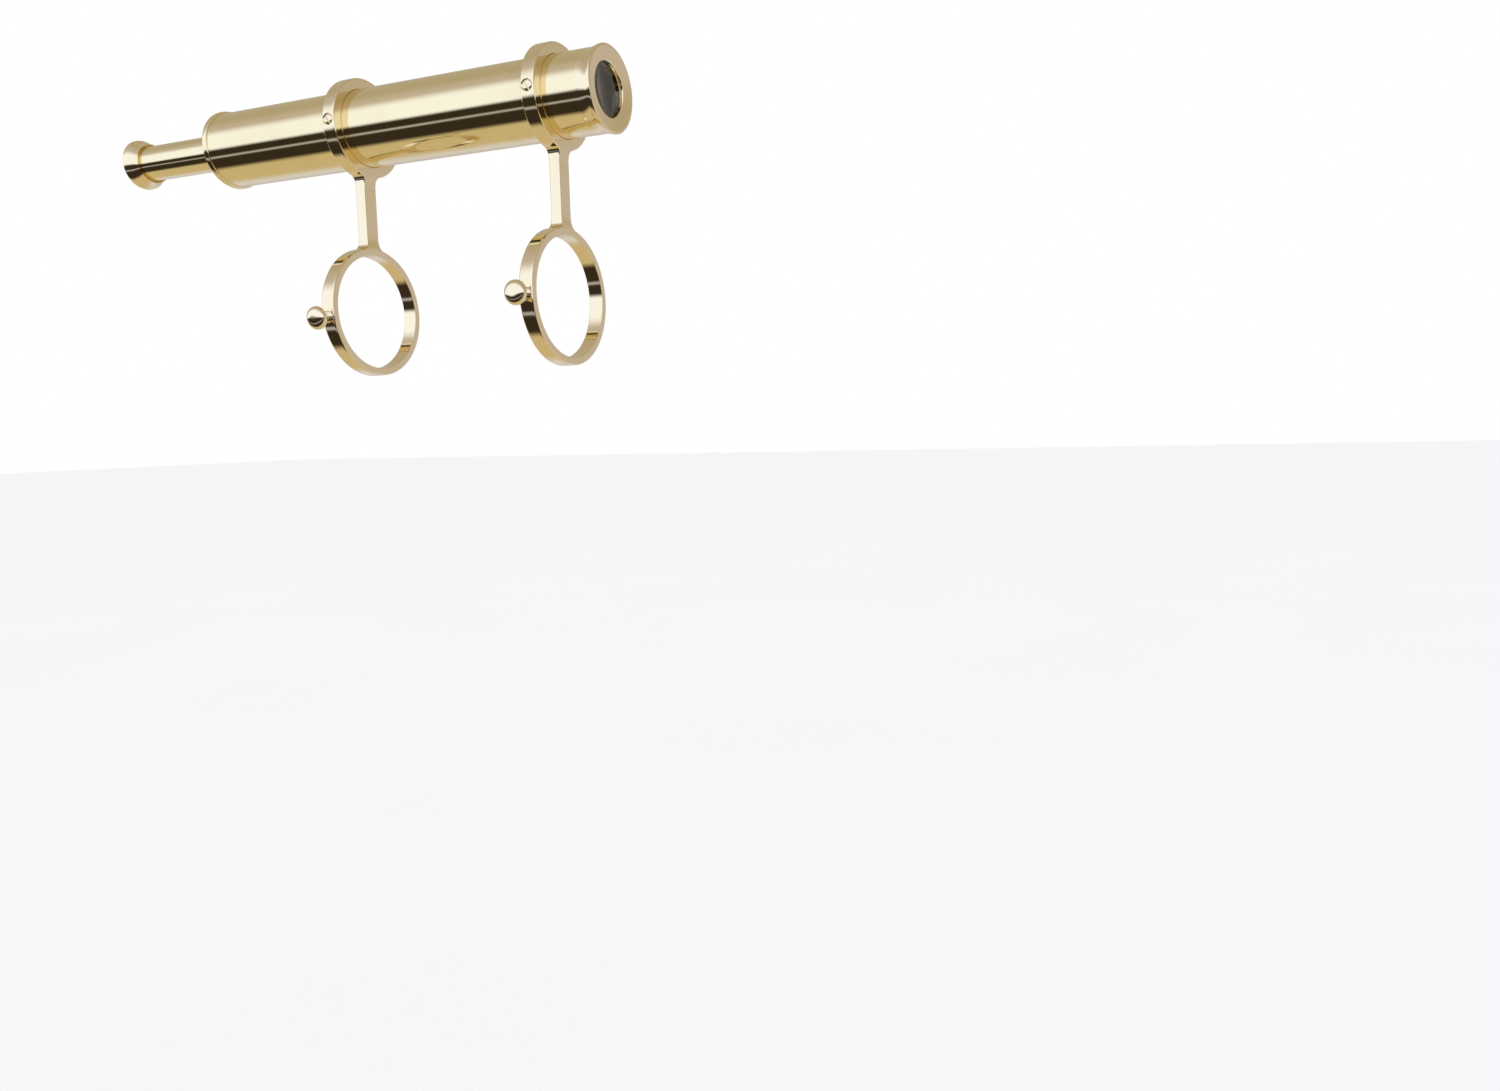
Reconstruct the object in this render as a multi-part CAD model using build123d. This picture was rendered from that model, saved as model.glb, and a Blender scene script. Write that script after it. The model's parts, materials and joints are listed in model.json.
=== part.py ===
from build123d import *
import os
from math import cos, radians, sin, sqrt

# Finder scope: a polished brass terrestrial finder held above a larger telescope tube by two cast
# figure-8 brackets. Every piece is written as its own STEP file, named after the piece.
# Millimetres. +X points from the eyepiece to the objective, +Z points from the main tube up to the
# finder, and the origin is the centre of the rear bracket's lower ring, on the main tube's axis.

# --- driving dimensions ------------------------------------------------------------------------
AXIS_HEIGHT = 92.5            # finder axis above the main tube's axis
BRACKET_PITCH = 117.5         # rear ring centre to front ring centre
RING_WIDTH = 7.5              # both rings of a bracket, along X
POST_THICKNESS = 5.8          # along X
POST_BREADTH = 8.8            # along Y
MAIN_TUBE_OD = 57.15          # the tube that the lower rings grip (2 1/4 in stock tube)
LOWER_RING_WALL = 3.8
UPPER_RING_WALL = 5.35
POST_FILLET = 3.4
EDGE_SOFTENING = 0.8

BARREL_OD = 38.1              # 1 1/2 in stock tube
BARREL_WALL = 1.0
BARREL_REAR = -91.3           # rear face of the rear end cap
REAR_CAP_RIM = 3.2            # along X
REAR_CAP_BEAD = 1.0           # how far the rim stands out past the barrel
BARREL_FRONT = 139.7          # shoulder where the objective bezel starts
FACE_FRONT = 147.6            # foremost edge of the bezel

FLANGE_RADIUS = 20.0
APERTURE_RADIUS = 12.4
FACE_DISH = 1.2
LIP_THICKNESS = 2.0
OBJECTIVE_RADIUS = 14.4

DRAW_OD = 18.5
DRAW_WALL = 0.8
DRAW_REAR = -157.2
DRAW_FRONT = -41.5
CAP_FRONT = -151.5
CAP_REAR = -160.1
CAP_FRONT_RADIUS = 10.6
CAP_REAR_RADIUS = 13.4
EYE_HOLE_RADIUS = 3.6

SLIDE_CLEARANCE = 0.05        # radial, wherever one piece slides in another
SEAT_CLEARANCE = 0.02         # radial, wherever a piece is pressed, screwed or burnished in

# --- dimensions that follow --------------------------------------------------------------------
MAIN_BORE = MAIN_TUBE_OD / 2 + 0.025
BARREL_R = BARREL_OD / 2
BARREL_BORE = BARREL_R - BARREL_WALL
DRAW_R = DRAW_OD / 2
DRAW_BORE = DRAW_R - DRAW_WALL
IN_DRAW = DRAW_BORE - SEAT_CLEARANCE      # outside radius of what sits in the draw tube
IN_BARREL = BARREL_BORE - SEAT_CLEARANCE  # outside radius of what sits in the barrel
UPPER_RING_R = BARREL_R + UPPER_RING_WALL
LOWER_RING_R = MAIN_BORE + LOWER_RING_WALL
BRACKETS = {"rear": 0.0, "front": BRACKET_PITCH}

# The near side is -Y. A thumb screw's angle is how far it points below the horizontal.
THUMB_SCREW_ANGLE = {"rear": 8.0, "front": 2.0}
SHANK_RADIUS = 2.95
SHANK_CLEARANCE = 0.05
PAD_TIP = MAIN_TUBE_OD / 2 + 0.08      # distance of the pad's face from the main tube's axis
PAD_SEAT = PAD_TIP + 1.1               # distance of the screw's tip
PAD_GAP = 0.05                         # between the pad and the turning tip
PAD_RADIUS = 2.6
PAD_STEM = 2.4
PAD_STEM_RADIUS = 1.2
RING_SCREW_RADIUS = 1.5
RING_SCREW_HEAD = 2.6


def turned(*outline, axis_height=AXIS_HEIGHT):
    """Revolve a closed outline of (x, radius) points about an axis along X."""
    face = make_face(Polyline(*outline, close=True))
    return Pos(0, 0, axis_height) * revolve(face, Axis.X)


def ring(x_rear, x_front, inner, outer):
    """A plain turned ring on the finder's axis."""
    return turned((x_rear, inner), (x_front, inner), (x_front, outer), (x_rear, outer))


def sagitta(radius, half_chord):
    return radius - sqrt(radius * radius - half_chord * half_chord)


def rise(bulge, half_width, radius):
    """How far a lens surface stands out past its own rim at the given radius."""
    curve_radius = (half_width * half_width + bulge * bulge) / (2 * bulge)
    return bulge - sagitta(curve_radius, radius)


def lens(x_front, thickness, half_width, front_bulge, back_bulge):
    """A lens from its front vertex back. A bulge is how far a surface stands out past its own edge:
    positive is convex, negative is hollow and zero is flat."""
    x_back = x_front - thickness
    front_rim = (x_front - front_bulge, half_width)
    back_rim = (x_back + back_bulge, half_width)
    edges = [Line(front_rim, back_rim), Line((x_back, 0), (x_front, 0))]
    for vertex, rim, bulge in ((x_front, front_rim, front_bulge), (x_back, back_rim, back_bulge)):
        if bulge == 0:
            edges.append(Line((vertex, 0), rim))
            continue
        curve_radius = (half_width * half_width + bulge * bulge) / (2 * abs(bulge))
        half = half_width / 2
        along = sagitta(curve_radius, half) / abs(bulge)
        middle = (vertex + (rim[0] - vertex) * along, half)
        edges.append(ThreePointArc((vertex, 0), middle, rim))
    return Pos(0, 0, AXIS_HEIGHT) * revolve(make_face(edges), Axis.X)


# --- barrel and objective ----------------------------------------------------------------------
def barrel_tube():
    tube = ring(BARREL_REAR + REAR_CAP_RIM, BARREL_FRONT, BARREL_BORE, BARREL_R)
    for x_ring in BRACKETS.values():
        tube -= near_side_hole(x_ring, RING_SCREW_RADIUS + SEAT_CLEARANCE)
    return tube


def near_side_hole(x_ring, radius):
    """A drilling along Y through the near side of the finder, at a ring's centre."""
    drill = Cylinder(radius, UPPER_RING_R, align=(Align.CENTER, Align.CENTER, Align.MIN))
    return Pos(x_ring, 0, AXIS_HEIGHT) * Rot(90, 0, 0) * drill


def objective_bezel():
    spigot_rear = BARREL_FRONT - 11.5
    rim_round = 1.2
    edge_round = 0.5
    lip_front = FACE_FRONT - FACE_DISH
    lip_rear = lip_front - LIP_THICKNESS
    bore = OBJECTIVE_RADIUS + SEAT_CLEARANCE
    flare_end = FACE_FRONT - rim_round
    edges = [
        Polyline((lip_front - edge_round, APERTURE_RADIUS), (lip_rear, APERTURE_RADIUS), (lip_rear, bore),
                 (spigot_rear, bore), (spigot_rear, IN_BARREL), (BARREL_FRONT, IN_BARREL),
                 (BARREL_FRONT, BARREL_R)),
        ThreePointArc((BARREL_FRONT, BARREL_R), (BARREL_FRONT + 4.4, BARREL_R + 0.25),
                      (flare_end, FLANGE_RADIUS)),
        ThreePointArc((flare_end, FLANGE_RADIUS), (flare_end + 0.85, FLANGE_RADIUS - 0.35),
                      (FACE_FRONT, FLANGE_RADIUS - rim_round)),
        Line((FACE_FRONT, FLANGE_RADIUS - rim_round), (lip_front, APERTURE_RADIUS + edge_round)),
        ThreePointArc((lip_front, APERTURE_RADIUS + edge_round),
                      (lip_front - 0.15, APERTURE_RADIUS + 0.15),
                      (lip_front - edge_round, APERTURE_RADIUS)),
    ]
    return Pos(0, 0, AXIS_HEIGHT) * revolve(make_face(edges), Axis.X)


CROWN_FRONT_BULGE = 1.3
CROWN_BACK_BULGE = 1.75
CROWN_THICKNESS = 5.0
# The crown lens rests on the lip's inner corner, so its middle stands forward of the lip's rear.
LIP_REAR = FACE_FRONT - FACE_DISH - LIP_THICKNESS
CROWN_RIM = LIP_REAR - rise(CROWN_FRONT_BULGE, OBJECTIVE_RADIUS, APERTURE_RADIUS) - SEAT_CLEARANCE
CROWN_FRONT = CROWN_RIM + CROWN_FRONT_BULGE
FLINT_THICKNESS = 2.6
LENS_AIR_GAP = 0.04
FLINT_FRONT = CROWN_FRONT - CROWN_THICKNESS - LENS_AIR_GAP
FLINT_REAR = FLINT_FRONT - FLINT_THICKNESS


def objective_crown_lens():
    return lens(CROWN_FRONT, CROWN_THICKNESS, OBJECTIVE_RADIUS, CROWN_FRONT_BULGE, CROWN_BACK_BULGE)


def objective_flint_lens():
    return lens(FLINT_FRONT, FLINT_THICKNESS, OBJECTIVE_RADIUS, -CROWN_BACK_BULGE, 0)


def objective_retaining_ring():
    """Threaded ring behind the lenses, with two notches for a pin spanner."""
    depth = 4.0
    notch = 1.6
    rear = FLINT_REAR - depth
    body = ring(rear, FLINT_REAR - SEAT_CLEARANCE, 12.6, OBJECTIVE_RADIUS)
    cutter = Box(2 * notch, 3 * OBJECTIVE_RADIUS, notch)
    return body - Pos(rear, 0, AXIS_HEIGHT) * cutter


def barrel_baffle():
    """Blackened glare stop: a thin disc with a rim that grips the barrel."""
    disc_front = 62.0
    disc = 1.0
    rim_depth = 6.0
    rim_wall = 1.0
    return turned((disc_front, 9.5), (disc_front, IN_BARREL), (disc_front - rim_depth, IN_BARREL),
                  (disc_front - rim_depth, IN_BARREL - rim_wall), (disc_front - disc, IN_BARREL - rim_wall),
                  (disc_front - disc, 9.5))


BUSH_BARREL = 10.4            # radius of the collar that shows round the draw tube
BUSH_SHOULDER = 12.5
PLATE = 3.0
BUSH_FRONT = -73.0


def rear_end_cap():
    """Closes the barrel's rear end: a raised rounded bead, an end plate and a spigot inside the barrel."""
    rim = BARREL_R + REAR_CAP_BEAD
    rim_front = BARREL_REAR + REAR_CAP_RIM
    rim_round = REAR_CAP_BEAD
    corner = rim_round * (1 - cos(radians(45)))
    spigot_front = rim_front + 10.0
    spigot_wall = 2.2
    bore = BUSH_BARREL + SEAT_CLEARANCE
    plate_front = BARREL_REAR + PLATE
    edges = [
        Polyline((BARREL_REAR, rim - rim_round), (BARREL_REAR, bore), (plate_front, bore),
                 (plate_front, IN_BARREL - spigot_wall), (spigot_front, IN_BARREL - spigot_wall),
                 (spigot_front, IN_BARREL), (rim_front, IN_BARREL), (rim_front, rim - rim_round)),
        ThreePointArc((rim_front, rim - rim_round), (rim_front - corner, rim - corner),
                      (rim_front - rim_round, rim)),
        Line((rim_front - rim_round, rim), (BARREL_REAR + rim_round, rim)),
        ThreePointArc((BARREL_REAR + rim_round, rim), (BARREL_REAR + corner, rim - corner),
                      (BARREL_REAR, rim - rim_round)),
    ]
    return Pos(0, 0, AXIS_HEIGHT) * revolve(make_face(edges), Axis.X)


def draw_tube_bush():
    """Guide bush pressed into the end plate from inside. Its rear end shows as a thin collar."""
    bore = DRAW_R + SLIDE_CLEARANCE
    collar_rear = BARREL_REAR - 2.4
    shoulder_rear = BARREL_REAR + PLATE
    shoulder_front = shoulder_rear + 2.5
    nose = 10.7
    corner = 0.6
    return turned((collar_rear, bore), (BUSH_FRONT, bore), (BUSH_FRONT, nose), (shoulder_front, nose),
                  (shoulder_front, BUSH_SHOULDER), (shoulder_rear, BUSH_SHOULDER), (shoulder_rear, BUSH_BARREL),
                  (collar_rear + corner, BUSH_BARREL), (collar_rear, BUSH_BARREL - corner))


# --- draw tube and what rides in it ------------------------------------------------------------
def draw_tube():
    return ring(DRAW_REAR, DRAW_FRONT, DRAW_BORE, DRAW_R)


def draw_stop_ring():
    """Guide disc on the draw tube's inner end. It keeps the tube central and stops it pulling out."""
    inner = DRAW_R + SEAT_CLEARANCE
    hub_rear = DRAW_FRONT - 8.0
    disc_rear = DRAW_FRONT - 3.0
    return turned((hub_rear, inner), (DRAW_FRONT, inner), (DRAW_FRONT, BARREL_BORE - SLIDE_CLEARANCE),
                  (disc_rear, BARREL_BORE - SLIDE_CLEARANCE), (disc_rear, 10.6), (hub_rear, 10.6))


ERECTOR_FRONT = DRAW_FRONT - 1.0
ERECTOR_LENGTH = 30.0
ERECTOR_BORE = 7.4
ERECTOR_SEAT_DEPTH = 5.0


def erector_cell():
    """Sleeve that holds the two erecting lenses, with a thicker middle that keeps them apart."""
    rear = ERECTOR_FRONT - ERECTOR_LENGTH
    middle = 6.4
    return turned((rear, ERECTOR_BORE), (rear + ERECTOR_SEAT_DEPTH, ERECTOR_BORE),
                  (rear + ERECTOR_SEAT_DEPTH, middle), (ERECTOR_FRONT - ERECTOR_SEAT_DEPTH, middle),
                  (ERECTOR_FRONT - ERECTOR_SEAT_DEPTH, ERECTOR_BORE), (ERECTOR_FRONT, ERECTOR_BORE),
                  (ERECTOR_FRONT, IN_DRAW), (rear, IN_DRAW))


ERECTOR_THICKNESS = 3.0
ERECTOR_BULGE = 1.6
IN_CELL = ERECTOR_BORE - SEAT_CLEARANCE


def erector_front_lens():
    flat_face = ERECTOR_FRONT - ERECTOR_SEAT_DEPTH
    return lens(flat_face + ERECTOR_THICKNESS, ERECTOR_THICKNESS, IN_CELL, ERECTOR_BULGE, 0)


def erector_rear_lens():
    flat_face = ERECTOR_FRONT - ERECTOR_LENGTH + ERECTOR_SEAT_DEPTH
    return lens(flat_face, ERECTOR_THICKNESS, IN_CELL, 0, ERECTOR_BULGE)


def erector_lock_rings():
    """Two thin rings, one outside each erecting lens."""
    inner = 6.6
    depth = 1.4
    from_seat = ERECTOR_THICKNESS - ERECTOR_BULGE + rise(ERECTOR_BULGE, IN_CELL, inner) + SEAT_CLEARANCE
    front_edge = ERECTOR_FRONT - ERECTOR_SEAT_DEPTH + from_seat
    rear_edge = ERECTOR_FRONT - ERECTOR_LENGTH + ERECTOR_SEAT_DEPTH - from_seat
    front = ring(front_edge, front_edge + depth, inner, IN_CELL)
    rear = ring(rear_edge - depth, rear_edge, inner, IN_CELL)
    return Compound(children=[front, rear])


def erector_stop():
    """Diaphragm halfway between the erecting lenses."""
    centre = ERECTOR_FRONT - ERECTOR_LENGTH / 2
    return turned((centre - 2, 5.4), (centre - 0.4, 5.4), (centre - 0.4, 2.6), (centre + 0.4, 2.6),
                  (centre + 0.4, 5.4), (centre + 2, 5.4), (centre + 2, 6.38), (centre - 2, 6.38))


RETICLE_REAR = -139.0
RETICLE_DEPTH = 3.0
WIRE_RADIUS = 0.12


def reticle_ring():
    """Field stop that carries the cross wires on its rear face, each end in a small groove."""
    body = ring(RETICLE_REAR, RETICLE_REAR + RETICLE_DEPTH, 5.6, IN_DRAW)
    groove_depth = 4 * WIRE_RADIUS + 0.1
    groove_width = 2 * WIRE_RADIUS + 0.1
    reach = 7.6
    for length_y, length_z in ((2 * reach, groove_width), (groove_width, 2 * reach)):
        body -= Pos(RETICLE_REAR, 0, AXIS_HEIGHT) * Box(2 * groove_depth, length_y, length_z)
    return body


def reticle_wires():
    """Two crossed wires, one just in front of the other."""
    half_length = 7.4
    gap = 0.02
    rear_wire = Pos(RETICLE_REAR + WIRE_RADIUS + gap, 0, AXIS_HEIGHT) * Cylinder(WIRE_RADIUS, 2 * half_length)
    front_x = RETICLE_REAR + 3 * WIRE_RADIUS + 2 * gap
    front_wire = Pos(front_x, 0, AXIS_HEIGHT) * Rot(90, 0, 0) * Cylinder(WIRE_RADIUS, 2 * half_length)
    return Compound(children=[rear_wire, front_wire])


EYE_LENS_THICKNESS = 3.2
EYE_LENS_BULGE = 1.8
FIELD_LENS_THICKNESS = 2.8
FIELD_LENS_BULGE = 1.4
SPACER_BORE = 7.4
SPACER_FRONT = -144.9
FIELD_FLAT = (SPACER_FRONT + SEAT_CLEARANCE + rise(FIELD_LENS_BULGE, IN_DRAW, SPACER_BORE)
              + FIELD_LENS_THICKNESS - FIELD_LENS_BULGE)


def eye_lens():
    """Flat side to the eye, resting on the cap's end plate."""
    return lens(DRAW_REAR + EYE_LENS_THICKNESS, EYE_LENS_THICKNESS, IN_DRAW, EYE_LENS_BULGE, 0)


def eyepiece_spacer():
    """Sleeve whose two inner corners rest on the curved sides of the eye and field lenses."""
    rear = (DRAW_REAR + EYE_LENS_THICKNESS - EYE_LENS_BULGE
            + rise(EYE_LENS_BULGE, IN_DRAW, SPACER_BORE) + SEAT_CLEARANCE)
    return ring(rear, SPACER_FRONT, SPACER_BORE, IN_DRAW)


def field_lens():
    """Curved side to the eye lens, flat side to the objective."""
    return lens(FIELD_FLAT, FIELD_LENS_THICKNESS, IN_DRAW, 0, FIELD_LENS_BULGE)


def eyepiece_lock_ring():
    rear = FIELD_FLAT + SEAT_CLEARANCE
    return ring(rear, rear + 1.8, 7.2, IN_DRAW)


def eyepiece_cap():
    """Trumpet-shaped cap over the draw tube's rear end, with a small eye hole. Its front edge is
    countersunk round the draw tube."""
    bore = DRAW_R + SEAT_CLEARANCE
    countersink = 1.2
    plate_front = DRAW_REAR - SEAT_CLEARANCE
    rim_round = 0.8
    flare_end = CAP_REAR + 1.6
    face = CAP_REAR + 0.5
    edges = [
        Polyline((plate_front, EYE_HOLE_RADIUS), (plate_front, bore), (CAP_FRONT - countersink, bore),
                 (CAP_FRONT, CAP_FRONT_RADIUS - 0.2), (CAP_FRONT - 0.2, CAP_FRONT_RADIUS)),
        ThreePointArc((CAP_FRONT - 0.2, CAP_FRONT_RADIUS), (CAP_FRONT - 4.3, CAP_FRONT_RADIUS + 0.85),
                      (flare_end, CAP_REAR_RADIUS - 0.1)),
        ThreePointArc((flare_end, CAP_REAR_RADIUS - 0.1), (CAP_REAR + 0.7, CAP_REAR_RADIUS - 0.15),
                      (CAP_REAR, CAP_REAR_RADIUS - rim_round)),
        Polyline((CAP_REAR, CAP_REAR_RADIUS - rim_round), (face, CAP_REAR_RADIUS - 2 * rim_round),
                 (plate_front - 1.0, EYE_HOLE_RADIUS + 1.4), (plate_front - 0.8, EYE_HOLE_RADIUS),
                 (plate_front, EYE_HOLE_RADIUS)),
    ]
    return Pos(0, 0, AXIS_HEIGHT) * revolve(make_face(edges), Axis.X)


# --- brackets and screws -----------------------------------------------------------------------
def softened_band(inner, outer, axis_height):
    """A cast ring of a bracket, at x = 0, with rounded outer edges."""
    half = RING_WIDTH / 2
    soft = EDGE_SOFTENING
    corner = soft * (1 - cos(radians(45)))
    edges = [
        Polyline((-half, outer - soft), (-half, inner), (half, inner), (half, outer - soft)),
        ThreePointArc((half, outer - soft), (half - corner, outer - corner), (half - soft, outer)),
        Line((half - soft, outer), (soft - half, outer)),
        ThreePointArc((soft - half, outer), (corner - half, outer - corner), (-half, outer - soft)),
    ]
    return Pos(0, 0, axis_height) * revolve(make_face(edges), Axis.X)


def bracket(x_ring, screw_angle):
    """One figure-8 casting: a ring round the finder, a flat post and a ring round the main tube."""
    outline = Circle(LOWER_RING_R - EDGE_SOFTENING)
    outline += Pos(0, AXIS_HEIGHT) * Circle(UPPER_RING_R - EDGE_SOFTENING)
    outline += Pos(0, AXIS_HEIGHT / 2) * Rectangle(POST_BREADTH, AXIS_HEIGHT)
    corners = [v for v in outline.vertices() if LOWER_RING_R - 4 < v.Y < AXIS_HEIGHT - UPPER_RING_R + 4]
    outline = fillet(corners, POST_FILLET)
    outline -= Circle(MAIN_BORE)
    outline -= Pos(0, AXIS_HEIGHT) * Circle(BARREL_R + SEAT_CLEARANCE)
    # The outline is drawn as (Y, Z), so its plane faces along X.
    facing_x = Plane(origin=(-POST_THICKNESS / 2, 0, 0), x_dir=(0, 1, 0), z_dir=(1, 0, 0))
    casting = extrude(facing_x * outline, POST_THICKNESS)
    casting += softened_band(MAIN_BORE, LOWER_RING_R, 0)
    casting += softened_band(BARREL_R + SEAT_CLEARANCE, UPPER_RING_R, AXIS_HEIGHT)
    casting = Pos(x_ring, 0, 0) * casting
    casting -= near_side_hole(x_ring, RING_SCREW_RADIUS + SEAT_CLEARANCE)
    casting -= counterbore(x_ring)
    tapped = Cylinder(SHANK_RADIUS + SHANK_CLEARANCE, 2 * LOWER_RING_R,
                      align=(Align.CENTER, Align.CENTER, Align.MIN))
    return casting - Pos(x_ring, 0, 0) * Rot(90 + screw_angle, 0, 0) * tapped


HEAD_SEAT = UPPER_RING_R - 2.0        # distance of the ring screw's head seat from the finder's axis


def counterbore(x_ring):
    pocket = Cylinder(RING_SCREW_HEAD + 2 * SEAT_CLEARANCE, UPPER_RING_R,
                      align=(Align.CENTER, Align.CENTER, Align.MIN))
    return Pos(x_ring, -HEAD_SEAT, AXIS_HEIGHT) * Rot(90, 0, 0) * pocket


def ring_screw(x_ring):
    """Slotted screw through the upper ring into the barrel's wall, standing slightly proud."""
    head_height = 2.0
    dome = 0.35
    tip = BARREL_BORE + 0.3
    shank_length = HEAD_SEAT - tip
    face = make_face([
        Polyline((0, -shank_length), (RING_SCREW_RADIUS, -shank_length), (RING_SCREW_RADIUS, 0),
                 (RING_SCREW_HEAD, 0), (RING_SCREW_HEAD, head_height)),
        ThreePointArc((RING_SCREW_HEAD, head_height), (RING_SCREW_HEAD / 2, head_height + 0.75 * dome),
                      (0, head_height + dome)),
        Line((0, head_height + dome), (0, -shank_length)),
    ])
    # Drawn as (radius, height), then stood up along Z, slotted, and laid over to point along -Y.
    screw = revolve(Plane.XZ * face, Axis.Z)
    slot_depth = 1.0
    slot_turn = 38
    slot = Box(0.7, 3 * RING_SCREW_HEAD, 2 * slot_depth)
    screw -= Pos(0, 0, head_height + dome) * Rot(0, 0, slot_turn) * slot
    return Pos(x_ring, -HEAD_SEAT - SEAT_CLEARANCE, AXIS_HEIGHT) * Rot(90, 0, 0) * screw


def thumb_screw(x_ring, screw_angle):
    """Button-headed clamp screw, set radially in a lower ring, its tip on the main tube."""
    tip = PAD_SEAT
    point = 0.4
    neck_end = LOWER_RING_R + 6.0
    head_radius = 5.7
    rim_low = neck_end + 1.0
    rim_high = rim_low + 0.6
    dome_height = 3.0
    half_way = head_radius / 2
    dome_radius = (head_radius ** 2 + dome_height ** 2) / (2 * dome_height)
    face = make_face([
        Polyline((0, tip + PAD_STEM), (PAD_STEM_RADIUS, tip + PAD_STEM), (PAD_STEM_RADIUS, tip),
                 (SHANK_RADIUS - point, tip), (SHANK_RADIUS, tip + point),
                 (SHANK_RADIUS, neck_end), (SHANK_RADIUS + 1.2, neck_end), (head_radius, rim_low),
                 (head_radius, rim_high)),
        ThreePointArc((head_radius, rim_high),
                      (half_way, rim_high + dome_height - sagitta(dome_radius, half_way)),
                      (0, rim_high + dome_height)),
        Line((0, rim_high + dome_height), (0, tip + PAD_STEM)),
    ])
    screw = revolve(Plane.XZ * face, Axis.Z)
    return Pos(x_ring, 0, 0) * Rot(90 + screw_angle, 0, 0) * screw


def clamp_pad(x_ring, screw_angle):
    """Soft pad on a thumb screw's tip. It travels with the screw but doesn't turn, so the screw
    can't mark the main tube. Its stem turns freely in the screw's bored tip."""
    stem_radius = PAD_STEM_RADIUS - SLIDE_CLEARANCE
    stem_end = PAD_SEAT + PAD_STEM - 0.3
    base = PAD_SEAT - PAD_GAP
    face = make_face(Polyline((0, PAD_TIP), (PAD_RADIUS, PAD_TIP), (PAD_RADIUS, base), (stem_radius, base),
                              (stem_radius, stem_end), (0, stem_end), close=True))
    pad = revolve(Plane.XZ * face, Axis.Z)
    return Pos(x_ring, 0, 0) * Rot(90 + screw_angle, 0, 0) * pad


PIECES = {
    "barrel_tube": barrel_tube,
    "objective_bezel": objective_bezel,
    "objective_crown_lens": objective_crown_lens,
    "objective_flint_lens": objective_flint_lens,
    "objective_retaining_ring": objective_retaining_ring,
    "barrel_baffle": barrel_baffle,
    "rear_end_cap": rear_end_cap,
    "draw_tube_bush": draw_tube_bush,
    "draw_tube": draw_tube,
    "draw_stop_ring": draw_stop_ring,
    "erector_cell": erector_cell,
    "erector_front_lens": erector_front_lens,
    "erector_rear_lens": erector_rear_lens,
    "erector_lock_rings": erector_lock_rings,
    "erector_stop": erector_stop,
    "reticle_ring": reticle_ring,
    "reticle_wires": reticle_wires,
    "field_lens": field_lens,
    "eyepiece_lock_ring": eyepiece_lock_ring,
    "eyepiece_spacer": eyepiece_spacer,
    "eye_lens": eye_lens,
    "eyepiece_cap": eyepiece_cap,
}


def main():
    os.makedirs("parts", exist_ok=True)
    solids = {name: make() for name, make in PIECES.items()}
    for place, x_ring in BRACKETS.items():
        angle = THUMB_SCREW_ANGLE[place]
        solids[place + "_bracket"] = bracket(x_ring, angle)
        solids[place + "_thumb_screw"] = thumb_screw(x_ring, angle)
        solids[place + "_clamp_pad"] = clamp_pad(x_ring, angle)
        solids[place + "_ring_screw"] = ring_screw(x_ring)
    for name, solid in solids.items():
        export_step(solid, "parts/" + name + ".step")


main()
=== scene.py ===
import json
import math
from functools import cache

import bmesh
import bpy
from bpy.props import FloatProperty, FloatVectorProperty, IntProperty, PointerProperty
from mathutils import Matrix, Vector


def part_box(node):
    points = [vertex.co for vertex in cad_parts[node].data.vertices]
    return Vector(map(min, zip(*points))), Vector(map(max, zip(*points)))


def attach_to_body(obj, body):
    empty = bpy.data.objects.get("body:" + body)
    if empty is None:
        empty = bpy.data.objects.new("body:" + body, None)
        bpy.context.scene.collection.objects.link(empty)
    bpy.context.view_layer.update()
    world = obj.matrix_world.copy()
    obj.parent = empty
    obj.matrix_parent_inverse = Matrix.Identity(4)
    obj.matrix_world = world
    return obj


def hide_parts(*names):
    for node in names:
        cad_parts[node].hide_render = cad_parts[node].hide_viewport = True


# A polished brass finder scope: turned tubes and caps, two cast brackets, and their screws.
# Metres. +X is the way the scope looks, +Z points from the main tube up to the finder, and the
# thumb screws stand on the -Y side.
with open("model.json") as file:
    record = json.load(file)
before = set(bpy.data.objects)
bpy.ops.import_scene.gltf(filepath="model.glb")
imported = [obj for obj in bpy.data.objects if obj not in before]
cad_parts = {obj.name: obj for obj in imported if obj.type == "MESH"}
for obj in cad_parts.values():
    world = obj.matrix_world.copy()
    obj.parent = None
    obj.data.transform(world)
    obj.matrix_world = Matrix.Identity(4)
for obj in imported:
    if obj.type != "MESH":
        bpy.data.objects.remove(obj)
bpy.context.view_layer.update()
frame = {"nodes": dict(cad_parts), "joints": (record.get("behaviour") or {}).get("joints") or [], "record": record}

bl_info = {
    "name": "Brass finder scope",
    "version": (1, 0, 0),
    "blender": (4, 5, 0),
    "location": "3D View > Sidebar > Finder",
    "description": "Builds the polished brass finder scope, its brackets and screws, and a studio",
    "category": "Object",
}

MM = 0.001

# --- places and sizes taken from the frame ------------------------------------------------------
BARREL_LOW, BARREL_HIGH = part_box("barrel_tube")
BEZEL_LOW, BEZEL_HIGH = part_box("objective_bezel")
END_CAP_LOW, END_CAP_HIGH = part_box("rear_end_cap")
BUSH_LOW, BUSH_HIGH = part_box("draw_tube_bush")
DRAW_LOW, DRAW_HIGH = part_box("draw_tube")
EYE_CAP_LOW, EYE_CAP_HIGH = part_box("eyepiece_cap")

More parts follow.
